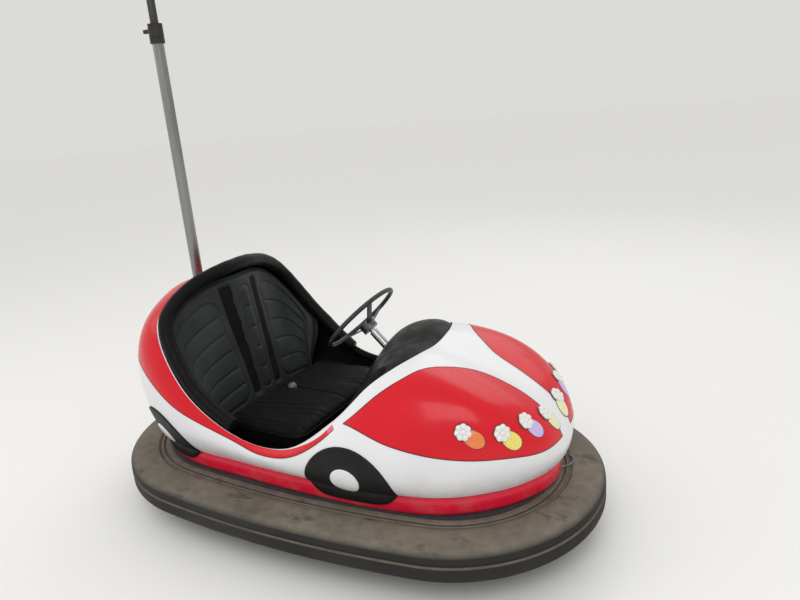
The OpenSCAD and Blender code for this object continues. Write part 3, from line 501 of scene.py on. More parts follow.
def tubeAlong(path, radius, sides, name, finish, body="chassis", closed=False, caps=True, up=(0, 0, 1)):
    path = np.asarray(path, float)
    n = len(path)
    if closed:
        along = unit(np.roll(path, -1, 0) - np.roll(path, 1, 0))
    else:
        along = unit(np.gradient(path, axis=0))
    side = np.cross(along, np.array(up, float))
    bad = np.linalg.norm(side, axis=1) < 1e-6
    side[bad] = np.cross(along[bad], [1, 0, 0])
    side = unit(side)
    top = np.cross(side, along)
    turn = np.linspace(0, 2 * math.pi, sides, endpoint=False)
    r = np.broadcast_to(np.asarray(radius, float), (n,))
    points = path[:, None] + r[:, None, None] * (np.cos(turn)[None, :, None] * side[:, None]
                                                + np.sin(turn)[None, :, None] * top[:, None])
    faces = [tuple(f) for f in gridFaces(n, sides, closed, True, flip=True)]
    if caps and not closed:
        faces += [tuple(range(sides)), tuple(range(n * sides - 1, (n - 1) * sides - 1, -1))]
    return makePiece(name, points.reshape(-1, 3), faces, finish, body, sharp=50)


def joinPieces(name, pieces):
    bpy.ops.object.select_all(action="DESELECT")
    for piece in pieces:
        piece.select_set(True)
    bpy.context.view_layer.objects.active = pieces[0]
    bpy.ops.object.join()
    pieces[0].name = name
    return pieces[0]


def turnedProfile(name, profile, centre, axis, finish, body, segments=48, sharp=40):
    # lathe: profile is (radius, distance along the axis)
    axis = unit(np.array(axis, float))
    side = np.cross(axis, [0, 0, 1]) if abs(axis[2]) < 0.9 else np.cross(axis, [0, 1, 0])
    side = unit(side)
    top = np.cross(axis, side)
    turn = np.linspace(0, 2 * math.pi, segments, endpoint=False)
    profile = np.asarray(profile, float)
    ring = np.cos(turn)[:, None] * side + np.sin(turn)[:, None] * top
    points = np.array(centre)[None, None] + profile[None, :, 0, None] * ring[:, None] \
        + profile[None, :, 1, None] * axis[None, None]
    return gridPiece(name, points, finish, body, closeCols=True, sharp=sharp, flip=True)


# Moulded body
def bodyShell():
    v = np.arange(-160, 160) / 16
    n = netRow(v)
    out = planOut(v)
    ledge = np.stack([n[:, 0], n[:, 1]], -1)

    def skirtRow(inset, up):
        p = np.empty((len(v), 3))
        p[:, :2] = ledge - out[:, :2] * inset
        p[:, 2] = bodySet["skirtLow"] + up
        return p
    rows, marks = [], []

    def add(row, mark):
        rows.append(row)
        marks.append(mark)
    for inset, up in ((0.014, 0.0), (0.0115, 0.001), (0.008, 0.006), (0.005, 0.012), (0.004, 0.016),
                      (0.003, 0.030), (0.003, 0.044), (0.0055, 0.056), (0.0098, 0.0645)):
        add(skirtRow(inset, up), 1)
    # groove under the ledge lip, cut in the shell and coloured with painted shadow
    for inset, up in ((0.0125, 0.0650), (0.0150, 0.0655), (0.0150, 0.0690), (0.0125, 0.0695)):
        add(skirtRow(inset, up), 2)
    for inset, up in ((0.0040, 0.0697), (0.0014, 0.0702), (0.0004, 0.0711)):
        add(skirtRow(inset, up), 0)
    for w in np.concatenate([np.linspace(0, 0.9, 44), [0.93, 0.96]]):
        add(skin(v, w), 0)
    along, side, up = rimFrame(v)
    rim = skin(v, 1)
    wall = wallAt(v)
    r = bodySet["rimRound"]
    for turn in np.radians([0, 30, 60, 90]):
        add(rim - side * r * (1 - math.cos(turn)) - up * r * (1 - math.sin(turn)), 3 if turn > 1 else 0)
    for turn in np.radians([90, 60, 30, 0]):
        add(rim - side * (wall - r * (1 - math.cos(turn)))[:, None] - up * r * (1 - math.sin(turn)), 3)
    for w in (0.96, 0.92, 0.86, 0.78, 0.7, 0.6, 0.5, 0.4, 0.3, 0.2, 0.1, 0.0):
        depth = bodySet["noseWall"] + (wall - bodySet["noseWall"]) * smoothStep(w / 0.5)
        add(lifted(v, w, -depth), 3)
    for inset, up in ((0.018, 0.066), (0.0145, 0.044), (0.020, 0.016), (0.042, 0.0)):
        add(skirtRow(inset, up), 3)
    points = np.stack(rows, 1)
    piece = gridPiece("bodyShell", points, [whitePaint, skirtPaint, lipShadowBlack, innerPlastic],
                      closeCols=True, closeRows=True, rowFinish=marks, sharp=38)
    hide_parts("nose_body", "tail_body")
    return piece


bodyShell()

# Painted areas lie on the body as thin films. Each edge is a smooth line through a few given points:
# station, share of the height
paintLift = 0.0006


def edgeStrip(name, line, half, finish, lift=0.0009):
    p = lifted(line[:, 0], line[:, 1], lift)
    n = outward(line[:, 0], line[:, 1])
    along = unit(np.gradient(p, axis=0))
    side = np.cross(n, along)
    pieces = []
    for mirror in (False, True):
        grid = np.stack([p - side * half, p, p + side * half], 1)
        grid[:, 1] += n * 0.0003
        pieces.append(gridPiece(name, mirrored(grid) if mirror else grid, finish, flip=not mirror))
    piece = joinPieces(name, pieces)
    return piece


almondEdges = {
    "upper": [(3.8, 0.90), (2.5, 0.93), (1.4, 0.93), (0.6, 0.85), (0.35, 0.70), (0.3, 0.50), (0.3, 0.32)],
    "lower": [(3.8, 0.90), (3.3, 0.57), (2.5, 0.38), (1.5, 0.32), (0.3, 0.32)]}


def almondPanels():
    upper = through(almondEdges["upper"], 121)
    lower = through(almondEdges["lower"], 121)
    share = np.linspace(0, 1, 41)[None, :, None]
    spots = lower[:, None] * (1 - share) + upper[:, None] * share
    grid = lifted(spots[..., 0], spots[..., 1], paintLift)
    pieces = [gridPiece("almondRight", grid, redPaint, flip=True),
              gridPiece("almondLeft", mirrored(grid), redPaint)]
    edgeStrip("almondOutlineUpper", upper, 0.0017, outlinePaint)
    edgeStrip("almondOutlineLower", lower, 0.0017, outlinePaint)


almondPanels()

tailEdges = {
    "lower": [(4.0, 0.90), (4.5, 0.80), (5.0, 0.69), (5.4, 0.70), (5.8, 0.82), (6.2, 0.82), (7.0, 0.70),
              (8.2, 0.58), (9.0, 0.53), (10.0, 0.52)],
    "upper": [(4.0, 0.96), (4.4, 0.91), (5.0, 0.95), (6.0, 0.985), (10.0, 0.985)]}


def edgeAt(points, v):
    line = through(points, 400)
    far = np.where(v > 10, 20 - v, v)
    return np.interp(far, line[:, 0], line[:, 1])


def tailBand(v, count, lift):
    # film between the lower and the upper edge
    low, high = edgeAt(tailEdges["lower"], v), edgeAt(tailEdges["upper"], v)
    share = np.linspace(0, 1, count)[None]
    w = low[:, None] * (1 - share) + high[:, None] * share
    return lifted(np.broadcast_to(v[:, None], w.shape), w, lift)


def tailPaint():
    piece = gridPiece("tailRed", tailBand(np.linspace(4.0, 16.0, 289), 33, paintLift), redPaint, flip=True)
    half = np.linspace(4.0, 10.0, 200)
    edgeStrip("tailOutline", np.stack([half, edgeAt(tailEdges["lower"], half)], 1), 0.0016, outlinePaint)
    # painted highlight: pale pink patch at the squared end of the cockpit strip
    grid = tailBand(np.linspace(3.99, 4.12, 6), 5, 0.0010)
    joinPieces("stripEnds", bothSides("stripEnd", grid, stripEndHighlight, True))


tailPaint()
print("body and paint made")

# Wheel shields stand proud over the ledge: x of the centre, first guess of the station
shieldSet = {"front": (0.265, 4.2), "rear": (-0.570, 7.6), "radius": 0.160, "proud": 0.006, "round": 0.005,
             "lip": 0.046, "clear": 0.0006, "stationsPerMetre": 4.2, "hubHalf": (0.050, 0.045),
             "hubProud": 0.0042}


def onSide(x, guess, px, pz, w):
    # stations and height shares of points round a shield's centre
    return placedOn(px, pz, guess + (x - px) * shieldSet["stationsPerMetre"], w)


def shieldLip(x, guess):
    # lower edge of a shield, turned down over the skirt
    half = shieldSet["radius"] * np.cos(np.linspace(0, math.pi, 61))
    px = x + half
    sv = onSide(x, guess, px, np.full(px.shape, bodySet["ledge"] + shieldSet["clear"]), 0.1)[0]
    n = netRow(sv)
    ledge = np.stack([n[:, 0], n[:, 1], np.full(px.shape, bodySet["ledge"])], -1)
    rows = []
    for out, drop in ((0.0, -0.004), (shieldSet["proud"], -0.002), (shieldSet["proud"], 0.4),
                      (shieldSet["proud"] - 0.001, 0.92), (shieldSet["proud"] - 0.003, 1.0), (-0.004, 1.0)):
        deep = shieldSet["lip"] * (1 - (np.abs(half) / shieldSet["radius"]) ** 6) if drop > 0 else 1
        rows.append(ledge + planOut(sv) * out - np.array([0, 0, 1]) * np.reshape(deep * drop, (-1, 1)))
    return np.stack(rows, 1)


def wheelShields():
    shields, hubs = [], []
    for x, guess in (shieldSet["front"], shieldSet["rear"]):
        turn = np.radians(np.linspace(0, 180, 73))[:, None]
        share = np.concatenate([np.linspace(0, 0.95, 20), [0.965, 0.98, 0.99, 0.997, 1.0]])[None]
        px = x + shieldSet["radius"] * share * np.cos(turn)
        pz = bodySet["ledge"] + shieldSet["clear"] + shieldSet["radius"] * share * np.sin(turn)
        sv, sw = onSide(x, guess, px, pz, 0.3)
        edge = np.minimum((1 - share) * shieldSet["radius"] + 0 * turn,
                          pz - bodySet["ledge"] - shieldSet["clear"])
        d = np.clip(1 - edge / shieldSet["round"], 0, 1)
        lift = 0.0004 + (shieldSet["proud"] - 0.0004) * np.sqrt(1 - d ** 2)
        shields += bothSides("shield", lifted(sv, sw, lift), shieldBlack)
        shields += bothSides("shield", shieldLip(x, guess), shieldBlack, True)
        turn = np.radians(np.linspace(0, 360, 73))[:, None]
        share = np.concatenate([np.linspace(0, 0.92, 12), [0.95, 0.975, 0.99, 1.0]])[None]
        hx, hz = shieldSet["hubHalf"]
        px = x + hx * share * np.cos(turn)
        pz = bodySet["ledge"] + hz + 0.003 + hz * share * np.sin(turn)
        sv, sw = onSide(x, guess, px, pz, 0.15)
        d = np.clip(1 - (1 - share) * hz / 0.0035, 0, 1)
        crown = 0.003 * (1 - share ** 2)
        lift = shieldSet["proud"] + 0.0003 + shieldSet["hubProud"] * np.sqrt(1 - d ** 2) + crown + 0 * turn
        hubs += bothSides("hub", lifted(sv, sw, lift), hubWhite)
    shield = joinPieces("wheelShields", shields)
    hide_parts("wheel_shields")
    hub = joinPieces("shieldHubs", hubs)
    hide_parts("shield_hubs")


wheelShields()
print("wheel shields made")

# Lamps. Columns:
# x, y, z, turn of the plane they are laid out on, first guess of the station, lens finish
headlamps = [(0.635, -0.315, 0.518, 45, 2.3, lensOrange), (0.735, -0.255, 0.503, 45, 1.8, lensYellow),
             (0.779, -0.172, 0.510, 45, 1.1, lensViolet), (0.806, -0.068, 0.492, 45, 0.4, lensCream)]
tailLamps = [(-0.760, 0, 0.455, 0, 8.4, lensRed), (-0.822, 0, 0.455, 0, 8.9, lensRed)]
lampSet = {"petals": 7, "petalRadius": 0.028, "beadRadius": 0.0094, "lensLong": 0.040, "lensWide": 0.029,
           "lensDrop": 0.032, "lensAside": 0.013, "lensLean": -64}


def surfaceDisc(name, v0, w0, outline, rise, finish, mirror, rings=14, low=0.0008, body="chassis"):
    # a lens that lies on the skin; outline gives (across, up) for each turn, rise the height of its dome
    base = skin(v0, w0)
    n = outward(v0, w0)
    up = skin(v0, w0 + 0.02) - skin(v0, w0 - 0.02)
    up = unit(up - n * np.dot(up, n))
    ahead = np.cross(up, n)
    turn = np.linspace(0, 2 * math.pi, len(outline))
    share = np.sin(np.linspace(0, math.pi / 2, rings))[None, :, None]
    middle = outline[:-1].mean(0)
    flat = middle + (outline[:, None] - middle) * share
    q = base + flat[..., :1] * ahead + flat[..., 1:] * up
    # follow the skin: pull every point to the lifted surface along the normal
    spots = np.array(np.broadcast_arrays(np.full(q.shape[:2], float(v0)), np.full(q.shape[:2], float(w0))))
    for step in range(8):
        p = skin(spots[0], spots[1])
        a = (skin(spots[0] + 0.01, spots[1]) - p) / 0.01
        b = (skin(spots[0], spots[1] + 0.01) - p) / 0.01
        m = np.cross(a, b)
        e = q - p
        e = e - n * np.sum(e * m, -1, keepdims=True) / np.sum(n * m, -1, keepdims=True)
        aa, ab, bb = np.sum(a * a, -1), np.sum(a * b, -1), np.sum(b * b, -1)
        ea, eb = np.sum(e * a, -1), np.sum(e * b, -1)
        det = aa * bb - ab * ab
        spots[0] += (ea * bb - eb * ab) / det
        spots[1] += (eb * aa - ea * ab) / det
    lift = low + rise * np.sqrt(np.clip(1 - share[..., 0] ** 2, 0, 1)) + 0 * spots[0]
    grid = lifted(spots[0], spots[1], lift)
    if mirror:
        grid = mirrored(grid)
    return gridPiece(name, grid, finish, body, flip=mirror)


def lampOutline(kind):
    turn = np.linspace(0, 2 * math.pi, 85)
    c, s = np.cos(turn), np.sin(turn)
    if kind == "petals":
        r = lampSet["petalRadius"] * (1 - 0.08 * np.abs(np.sin(lampSet["petals"] * turn / 2)))
        return np.stack([r * c, r * s], 1)
    # oval, a little wider at its low end, ahead of and below the cluster
    long, wide = lampSet["lensLong"], lampSet["lensWide"]
    x = long * c
    y = wide * s * (0.86 + 0.14 * c)
    lean = math.radians(lampSet["lensLean"])
    return np.stack([x * math.cos(lean) - y * math.sin(lean) + lampSet["lensAside"],
                     x * math.sin(lean) + y * math.cos(lean) - lampSet["lensDrop"]], 1)


def lampSpot(x, y, z, plane, guess):
    lean = math.radians(plane)
    return (float(q) for q in placedOn(x * math.cos(lean) + y * math.sin(lean), z, guess, 0.5, plane))


def beadPlaces():
    # one bead in the middle and one behind each petal
    turn = 2 * math.pi * np.arange(lampSet["petals"]) / lampSet["petals"]
    far = lampSet["petalRadius"] - lampSet["beadRadius"] - 0.0015
    return [np.zeros(2), *(far * np.stack([np.cos(turn), np.sin(turn)], 1))]


def buildLamps():
    rims, lenses, leds = [], {}, []
    turn = np.linspace(0, 2 * math.pi, 25)
    circle = np.stack([np.cos(turn), np.sin(turn)], 1)
    for x, y, z, plane, guess, lens in headlamps:
        v0, w0 = lampSpot(x, y, z, plane, guess)
        for mirror in (False, True):
            drop = lampOutline("lens")
            middle = drop[:-1].mean(0)
            lenses.setdefault(lens.name, []).append(
                surfaceDisc("lens", v0, w0, drop, 0.0055, lens, mirror))
            rims.append(surfaceDisc("rim", v0, w0, middle + (drop - middle) * 1.07, 0.0022, lampRim, mirror))
            petals = lampOutline("petals")
            rims.append(surfaceDisc("rim", v0, w0, petals * 1.07, 0.0066, lampRim, mirror))
            leds.append(surfaceDisc("led", v0, w0, petals, 0.0085, ledWhite, mirror))
            for bead in beadPlaces():
                ring = bead + lampSet["beadRadius"] * circle
                leds.append(surfaceDisc("led", v0, w0, ring, 0.0065, ledWhite, mirror, 7, 0.0065))
    for x, y, z, plane, guess, lens in tailLamps:
        v0, w0 = lampSpot(x, y, z, plane, guess)
        for mirror in (False, True):
            turn = np.linspace(0, 2 * math.pi, 61)
            ring = np.stack([0.024 * np.cos(turn), 0.024 * np.sin(turn)], 1)
            rims.append(surfaceDisc("rim", v0, w0, ring * 1.22, 0.0062, lampRim, mirror))
            lenses.setdefault(lens.name, []).append(surfaceDisc("lens", v0, w0, ring, 0.013, lens, mirror))
    rim = joinPieces("lampRims", rims)
    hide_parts("headlamp_rings", "tail_lamp_rings")
    led = joinPieces("ledClusters", leds)
    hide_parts("headlamp_discs")
    for name, parts in lenses.items():
        piece = joinPieces(name + "Pieces", parts)
        if name == "lensRed":
            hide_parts("tail_lamp_discs")


buildLamps()
print("lamps made")

# Rubber ring
ringSet = {"length": 1.950, "width": 1.140, "sideRadius": 4.0, "widestBehind": 0.100}
# corner of the section: distance out from the outline, height, rounding
ringSection = [(-0.165, 0.105, 0.001), (-0.014, 0.099, 0.008), (0, 0.113, 0.010), (0, 0.1545, 0.002),
               (-0.007, 0.158, 0.002), (-0.007, 0.166, 0.002), (0, 0.1695, 0.002), (-0.002, 0.193, 0.010),
               (-0.016, 0.206, 0.012), (-0.060, 0.212, 0.020), (-0.112, 0.212, 0.006),
               (-0.119, 0.2045, 0.002), (-0.123, 0.2045, 0.002), (-0.127, 0.2105, 0.002),
               (-0.132, 0.2105, 0.002), (-0.135, 0.2035, 0.001), (-0.139, 0.2035, 0.001),
               (-0.142, 0.210, 0.002), (-0.165, 0.210, 0.001)]


def roundedSection(corners, steps=4):
    points = []
    n = len(corners)
    for k in range(n):
        p = np.array(corners[k][:2])
        a, b = np.array(corners[k - 1][:2]), np.array(corners[(k + 1) % n][:2])
        da, db = np.linalg.norm(a - p), np.linalg.norm(b - p)
        r = min(corners[k][2], da * 0.45, db * 0.45)
        start, end = p + (a - p) / da * r, p + (b - p) / db * r
        for t in np.linspace(0, 1, steps):
            points.append((1 - t) ** 2 * start + 2 * t * (1 - t) * p + t ** 2 * end)
    return np.array(points)


def ringOutline(count=480):
    half, reach = ringSet["length"] / 2, ringSet["sideRadius"]
    drop = reach - ringSet["width"] / 2
    behind = ringSet["widestBehind"]

    def endRadius(e):
        return (reach ** 2 - e ** 2 - drop ** 2) / (2 * (reach - e))
    nose, tail = endRadius(half + behind), endRadius(half - behind)
    noseMid, tailMid = half - nose, -half + tail
    noseTurn = math.atan2(drop, noseMid + behind)
    tailTurn = math.atan2(drop, -tailMid - behind)
    stops = []
    for mid, r, a, b, parts in (((noseMid, 0), nose, -noseTurn, noseTurn, 160),
                                ((-behind, -drop), reach, noseTurn, math.pi - tailTurn, 80),
                                ((tailMid, 0), tail, math.pi - tailTurn, math.pi + tailTurn, 160),
                                ((-behind, drop), reach, math.pi + tailTurn, 2 * math.pi - noseTurn, 80)):
        stops += [(mid[0], mid[1], r, a + (b - a) * k / parts) for k in range(parts)]
    return np.array(stops)


def sweepRing(section, stops):
    r = stops[:, 2, None] + section[None, :, 0]
    turn = stops[:, 3, None]
    return np.stack([stops[:, 0, None] + r * np.cos(turn), stops[:, 1, None] + r * np.sin(turn),
                     np.broadcast_to(section[None, :, 1], r.shape)], -1)


ringPiece = gridPiece("rubberRing", sweepRing(roundedSection(ringSection), ringOutline()), ringRubber,
                      closeCols=True, closeRows=True, flip=True, sharp=42)
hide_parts("bumper_tyre")
print("rubber ring made")

# Dash cowl
dashSet = {"from": -4.0, "to": 4.0, "thick": 0.006, "back": 0.060, "pocketDepth": 0.045,
           "pocketAt": (2.8, 0.24), "pocketHalf": (1.0, 0.2), "gap": 0.0006}
dashEdge = np.array([(85, 365, 430), (55, 210, 440), (150, -150, 430), (180, -346, 430)]) / 1000
dashRise = np.array([20, 110, 0, 0]) / 1000
dashCrown = np.array([30, 380, 80, 20]) / 1000


def dashPoint(v, q):
    v, q = np.broadcast_arrays(np.asarray(v, float), np.asarray(q, float))
    s = (v - dashSet["from"]) / (dashSet["to"] - dashSet["from"])
    t = lifted(v, 1.0, -(bodySet["noseWall"] + dashSet["gap"]))
    edge = bezier(*dashEdge[:, None, None] if v.ndim == 2 else dashEdge[:, None], s[..., None])
    rise = bezier(*dashRise, s)
    crown = bezier(*dashCrown, s)
    c1 = np.stack([t[..., 0] + 0.3 * (edge[..., 0] - t[..., 0]), t[..., 1] + 0.2 * (edge[..., 1] - t[..., 1]),
                   t[..., 2] + rise], -1)
    c2 = edge + np.stack([-dashSet["back"] * (1 - s), 0 * s, crown], -1)
    p = bezier(t, c1, c2, edge, q[..., None])
    a = (v - dashSet["pocketAt"][0]) / dashSet["pocketHalf"][0]
    b = (q - dashSet["pocketAt"][1]) / dashSet["pocketHalf"][1]
    p[..., 2] -= dashSet["pocketDepth"] * smoothStep(2.0 * (1 - np.sqrt(a * a + b * b)))
    return p


def dashCowl():
    v = np.linspace(dashSet["from"], dashSet["to"], 161)[:, None]
    q = np.concatenate([np.linspace(0, 0.95, 58), [0.97, 0.985, 0.995, 1.0]])[None]
    top = dashPoint(v, q)
    under = top + dashSet["thick"] * np.stack([0.7 * q + 0 * v, 0 * q + 0 * v, -1 + 0 * q + 0 * v], -1)
    lip = 0.5 * (top[:, -1:] + under[:, -1:]) + np.array([-0.0022, 0, -0.0012])
    grid = np.concatenate([top, lip, under[:, ::-1]], 1)
    piece = gridPiece("dashCowl", grid, dashPlastic, closeRows=True, sharp=60, flip=True)
    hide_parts("dash_panel")
    return piece


dashCowl()
print("dash made")

# Seat
seatSet = {"wall": 0.026, "thick": 0.034, "rear": 0.400, "low": 0.310, "gap": 0.0003, "setBack": 0.004,
           "grooveDepth": 0.0045, "channelDepth": 0.009}


def backRear(v, q):
    top = lifted(v, 1.0, -(seatSet["wall"] + 0.003)) - np.array([0, 0, 0.004])
    foot = np.stack([np.full(v.shape, -seatSet["rear"]), 0.8 * top[..., 1],
                     np.full(v.shape, seatSet["low"] + seatSet["gap"])], -1)
    tall = 0.35 * (top[..., 2] - foot[..., 2])
    c1 = top + np.stack([np.full(v.shape, 0.030), -0.02 * top[..., 1], -tall], -1)
    c2 = foot + np.stack([np.full(v.shape, -0.025), 0 * tall, tall], -1)
    inward = np.stack([-0.150 - top[..., 0], -top[..., 1], 0 * tall], -1)
    return bezier(top, c1, c2, foot, q[..., None]), unit(inward)


# panels of the back: first and last station, first and last share of the height, number of grooves
backPanels = [(7.35, 9.28, 0.10, 0.88, 5), (9.84, 10.16, 0.08, 0.86, 4), (10.72, 12.65, 0.10, 0.88, 4)]
beltChannels = [(9.40, 9.74), (10.26, 10.60)]


def backRelief(v, q):
    # how far the padding stands out or is drawn in, in metres
    lift = np.zeros(v.shape)
    for v0, v1, q0, q1, count in backPanels:
        # rounded outline groove round each panel, with level grooves across it
        mid, half = (v0 + v1) / 2, (v1 - v0) / 2
        midQ, halfQ = (q0 + q1) / 2, (q1 - q0) / 2
        long, tall = 0.115, 0.52  # one station and one full height of the back, in metres
        dx, dy = np.abs(v - mid) * long, np.abs(q - midQ) * tall
        r = min(half * long, halfQ * tall, 0.045)
        cx, cy = np.maximum(dx - (half * long - r), 0), np.maximum(dy - (halfQ * tall - r), 0)
        edge = r - np.hypot(cx, cy)
        edge = np.where((cx == 0) | (cy == 0), np.minimum(half * long - dx, halfQ * tall - dy), edge)
        inside = smoothStep(edge / 0.02)
        lift += 0.0035 * inside
        lift -= seatSet["grooveDepth"] * np.exp(-(edge / 0.0035) ** 2)
        for k in range(count):
            level = q0 + (q1 - q0) * (k + 1) / (count + 1)
            lift -= seatSet["grooveDepth"] * 1.25 * np.exp(-((q - level) * tall / 0.0036) ** 2) * inside
        rowTall = (q1 - q0) * tall / (count + 1)
        phase = ((q - q0) * tall / rowTall) % 1
        lift += 0.003 * inside * np.sin(math.pi * phase) ** 0.6
    for v0, v1 in beltChannels:
        mid, half = (v0 + v1) / 2, (v1 - v0) / 2
        lift -= seatSet["channelDepth"] * smoothStep((half - np.abs(v - mid)) / 0.07) \
            * smoothStep((q - 0.02) / 0.05) * smoothStep((0.9 - q) / 0.06)
    return lift


def seatBack():
    v = np.linspace(7.0, 13.0, 301)[:, None] + np.zeros((1, 141))
    q = np.linspace(0, 1, 141)[None] + np.zeros((301, 1))
    rear, inward = backRear(v, q)
    edgeFade = smoothStep((v - 7.0) / 0.18) * smoothStep((13.0 - v) / 0.18) * smoothStep(q / 0.03)
    front = rear + inward * ((seatSet["thick"] * (0.45 + 0.55 * edgeFade) - seatSet["setBack"]
                              + backRelief(v, q) * edgeFade)[..., None])
    grid = np.concatenate([front, rear[:, ::-8]], 1)
    piece = gridPiece("seatBackPad", grid, seatVinyl, closeRows=True, sharp=60, flip=False)
    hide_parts("seat_back")
    return piece


seatBack()
print("seat back made")

cushionSet = {"size": (0.372, 0.636, 0.074), "centre": (-0.1715, 0, 0.3535), "corner": 0.022, "voxel": 0.007,
              "pressure": 4.0, "cap": 0.009, "roomX": (-0.3645, 0.0215), "roomTop": 0.4035}


def cushionStart():
    # a slightly smaller block with rounded edges, before it is blown up
    sx, sy, sz = cushionSet["size"]
    bm = bmesh.new()
    bmesh.ops.create_cube(bm, size=1)
    bmesh.ops.scale(bm, vec=(sx, sy, sz), verts=bm.verts)
    bmesh.ops.bevel(bm, geom=bm.edges[:], offset=cushionSet["corner"], segments=4, profile=0.5,
                    affect="EDGES")
    bmesh.ops.translate(bm, vec=cushionSet["centre"], verts=bm.verts)
    mesh = bpy.data.meshes.new("seatCushion")
    bm.to_mesh(mesh)
    bm.free()
    piece = bpy.data.objects.new("seatCushion", mesh)
    scene.collection.objects.link(piece)
    return piece


def applyModifiers(piece):
    bpy.ops.object.select_all(action="DESELECT")
    piece.select_set(True)
    bpy.context.view_layer.objects.active = piece
    for mod in list(piece.modifiers):
        bpy.ops.object.modifier_apply(modifier=mod.name)


def readPoints(mesh):
    co = np.zeros(len(mesh.vertices) * 3)
    mesh.vertices.foreach_get("co", co)
    return co.reshape(-1, 3)


def writePoints(mesh, co):
    mesh.vertices.foreach_set("co", co.ravel())
    mesh.update()


def swell(piece, pressure, cap, voxel):
    remesh = piece.modifiers.new("remesh", "REMESH")
    remesh.mode = "VOXEL"
    remesh.voxel_size = voxel
    applyModifiers(piece)
    start = readPoints(piece.data)
    cloth = piece.modifiers.new("cloth", "CLOTH")
    cloth.settings.use_pressure = True
    cloth.settings.uniform_pressure_force = pressure
    cloth.settings.effector_weights.gravity = 0
    cloth.settings.tension_stiffness = 12
    cloth.settings.compression_stiffness = 12
    cloth.settings.bending_stiffness = 0.6
    cloth.collision_settings.use_collision = False
    for number in range(1, 21):
        scene.frame_set(number)
    applyModifiers(piece)
    scene.frame_set(1)
    moved = readPoints(piece.data) - start
    length = np.linalg.norm(moved, axis=1, keepdims=True)
    writePoints(piece.data, start + moved * np.minimum(1, cap / np.maximum(length, 1e-9)))
    smooth = piece.modifiers.new("subdivision", "SUBSURF")
    smooth.levels = 1
    applyModifiers(piece)


def seatCushion():
    piece = cushionStart()
    swell(piece, cushionSet["pressure"], cushionSet["cap"], cushionSet["voxel"])
    co = readPoints(piece.data)
    cx, cy, cz = cushionSet["centre"]
    x, y, z = co[:, 0] - cx, co[:, 1] - cy, co[:, 2] - cz
    sx, sy, sz = (s / 2 for s in cushionSet["size"])
    top = smoothStep(z / sz)
    # crown, a sitting dip on each side, a stitched middle seam and two cross seams
    crown = 0.006 * (1 - (x / sx) ** 2) * (1 - (np.abs(y) / sy) ** 3)
    dips = sum(0.007 * np.exp(-((x + 0.02) / 0.12) ** 2 - ((y - s) / 0.11) ** 2) for s in (-0.17, 0.17))
    seam = 0.0045 * np.exp(-(y / 0.005) ** 2) + 0.0035 * np.exp(-((np.abs(y) - 0.27) / 0.0045) ** 2)
    crease = 0.0012 * np.sin(38 * x + 9 * np.sin(21 * y)) * np.exp(-((np.abs(y) - 0.16) / 0.12) ** 2)
    co[:, 2] += top * (crown - dips - seam + crease)
    # kept within the room that the frame gives it
    co[:, 2] = np.clip(co[:, 2], seatSet["low"] + seatSet["gap"], cushionSet["roomTop"])
    co[:, 0] = np.clip(co[:, 0], *cushionSet["roomX"])
    writePoints(piece.data, co)
    piece.data.polygons.foreach_set("use_smooth", np.ones(len(piece.data.polygons), bool))
    piece.data.materials.clear()
    piece.data.materials.append(cushionVinyl)
    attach(piece, "chassis")
    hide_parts("seat_cushion")
    # piping round the upper edge
    turn = np.linspace(0, 2 * math.pi, 200, endpoint=False)
    c, s = np.cos(turn), np.sin(turn)
    px = cx + (sx + 0.001) * np.sign(c) * np.abs(c) ** 0.18
    py = cy + (sy + 0.001) * np.sign(s) * np.abs(s) ** 0.18
    level = ((co[:, 2] - 0.380) * 0.5) ** 2
    tops = np.array([co[np.argmin((co[:, 0] - a) ** 2 + (co[:, 1] - b) ** 2 + level)]
                     for a, b in zip(px, py)])
    for turnCount in range(6):
        tops = (np.roll(tops, 1, 0) + tops + np.roll(tops, -1, 0)) / 3
    piping = tubeAlong(tops, 0.0035, 8, "cushionPiping", rollVinyl, closed=True)
    return piece


seatCushion()
print("cushion made")

rollSet = {"radius": 0.026, "from": 6.1}


def rollMid(v):
    along, out, up = rimFrame(v)
    mid = 0.5 * (skin(v, 1.0) + lifted(v, 1.0, -wallAt(v))) + (rollSet["radius"] + 0.0015) * up
    return mid, along, out, up


def seatRoll():
    v = np.linspace(rollSet["from"], 20 - rollSet["from"], 421)
    mid, along, out, up = rollMid(v)
    sides = 28
    turn = np.linspace(0, 2 * math.pi, sides, endpoint=False)
    run = np.concatenate([[0], np.cumsum(np.linalg.norm(np.diff(mid, axis=0), axis=1))])
    # slight gathers along the roll and a seam along its lower inner side
    radius = rollSet["radius"] * (1 + 0.012 * np.sin(run * 95) + 0.01 * np.sin(run * 41 + 1.3))
    seam = 1 - 0.10 * np.exp(-(((turn - math.radians(215) + math.pi) % (2 * math.pi) - math.pi) / 0.14) ** 2)
    points = mid[:, None] + (radius[:, None] * seam[None])[..., None] * (
        np.cos(turn)[None, :, None] * out[:, None] + np.sin(turn)[None, :, None] * up[:, None])
    # gathered ends close over a short rounded cap
    ends = []
    for index, sign in ((0, -1), (-1, 1)):
        cap = []
        for a in np.radians([25, 50, 72, 88]):
            centre = mid[index] + sign * along[index] * 0.007 * math.sin(a)
            cap.append(centre + (points[index] - mid[index]) * math.cos(a) ** 0.7)
        ends.append(np.array(cap))
    grid = np.concatenate([ends[0][::-1], points, ends[1]], 0)
    piece = gridPiece("seatRoll", grid, rollVinyl, closeRows=True, flip=True)
    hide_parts("seat_roll")


seatRoll()

beltSet = {"thick": 0.0026, "from": 0.03, "to": 0.93, "clear": 0.0012}


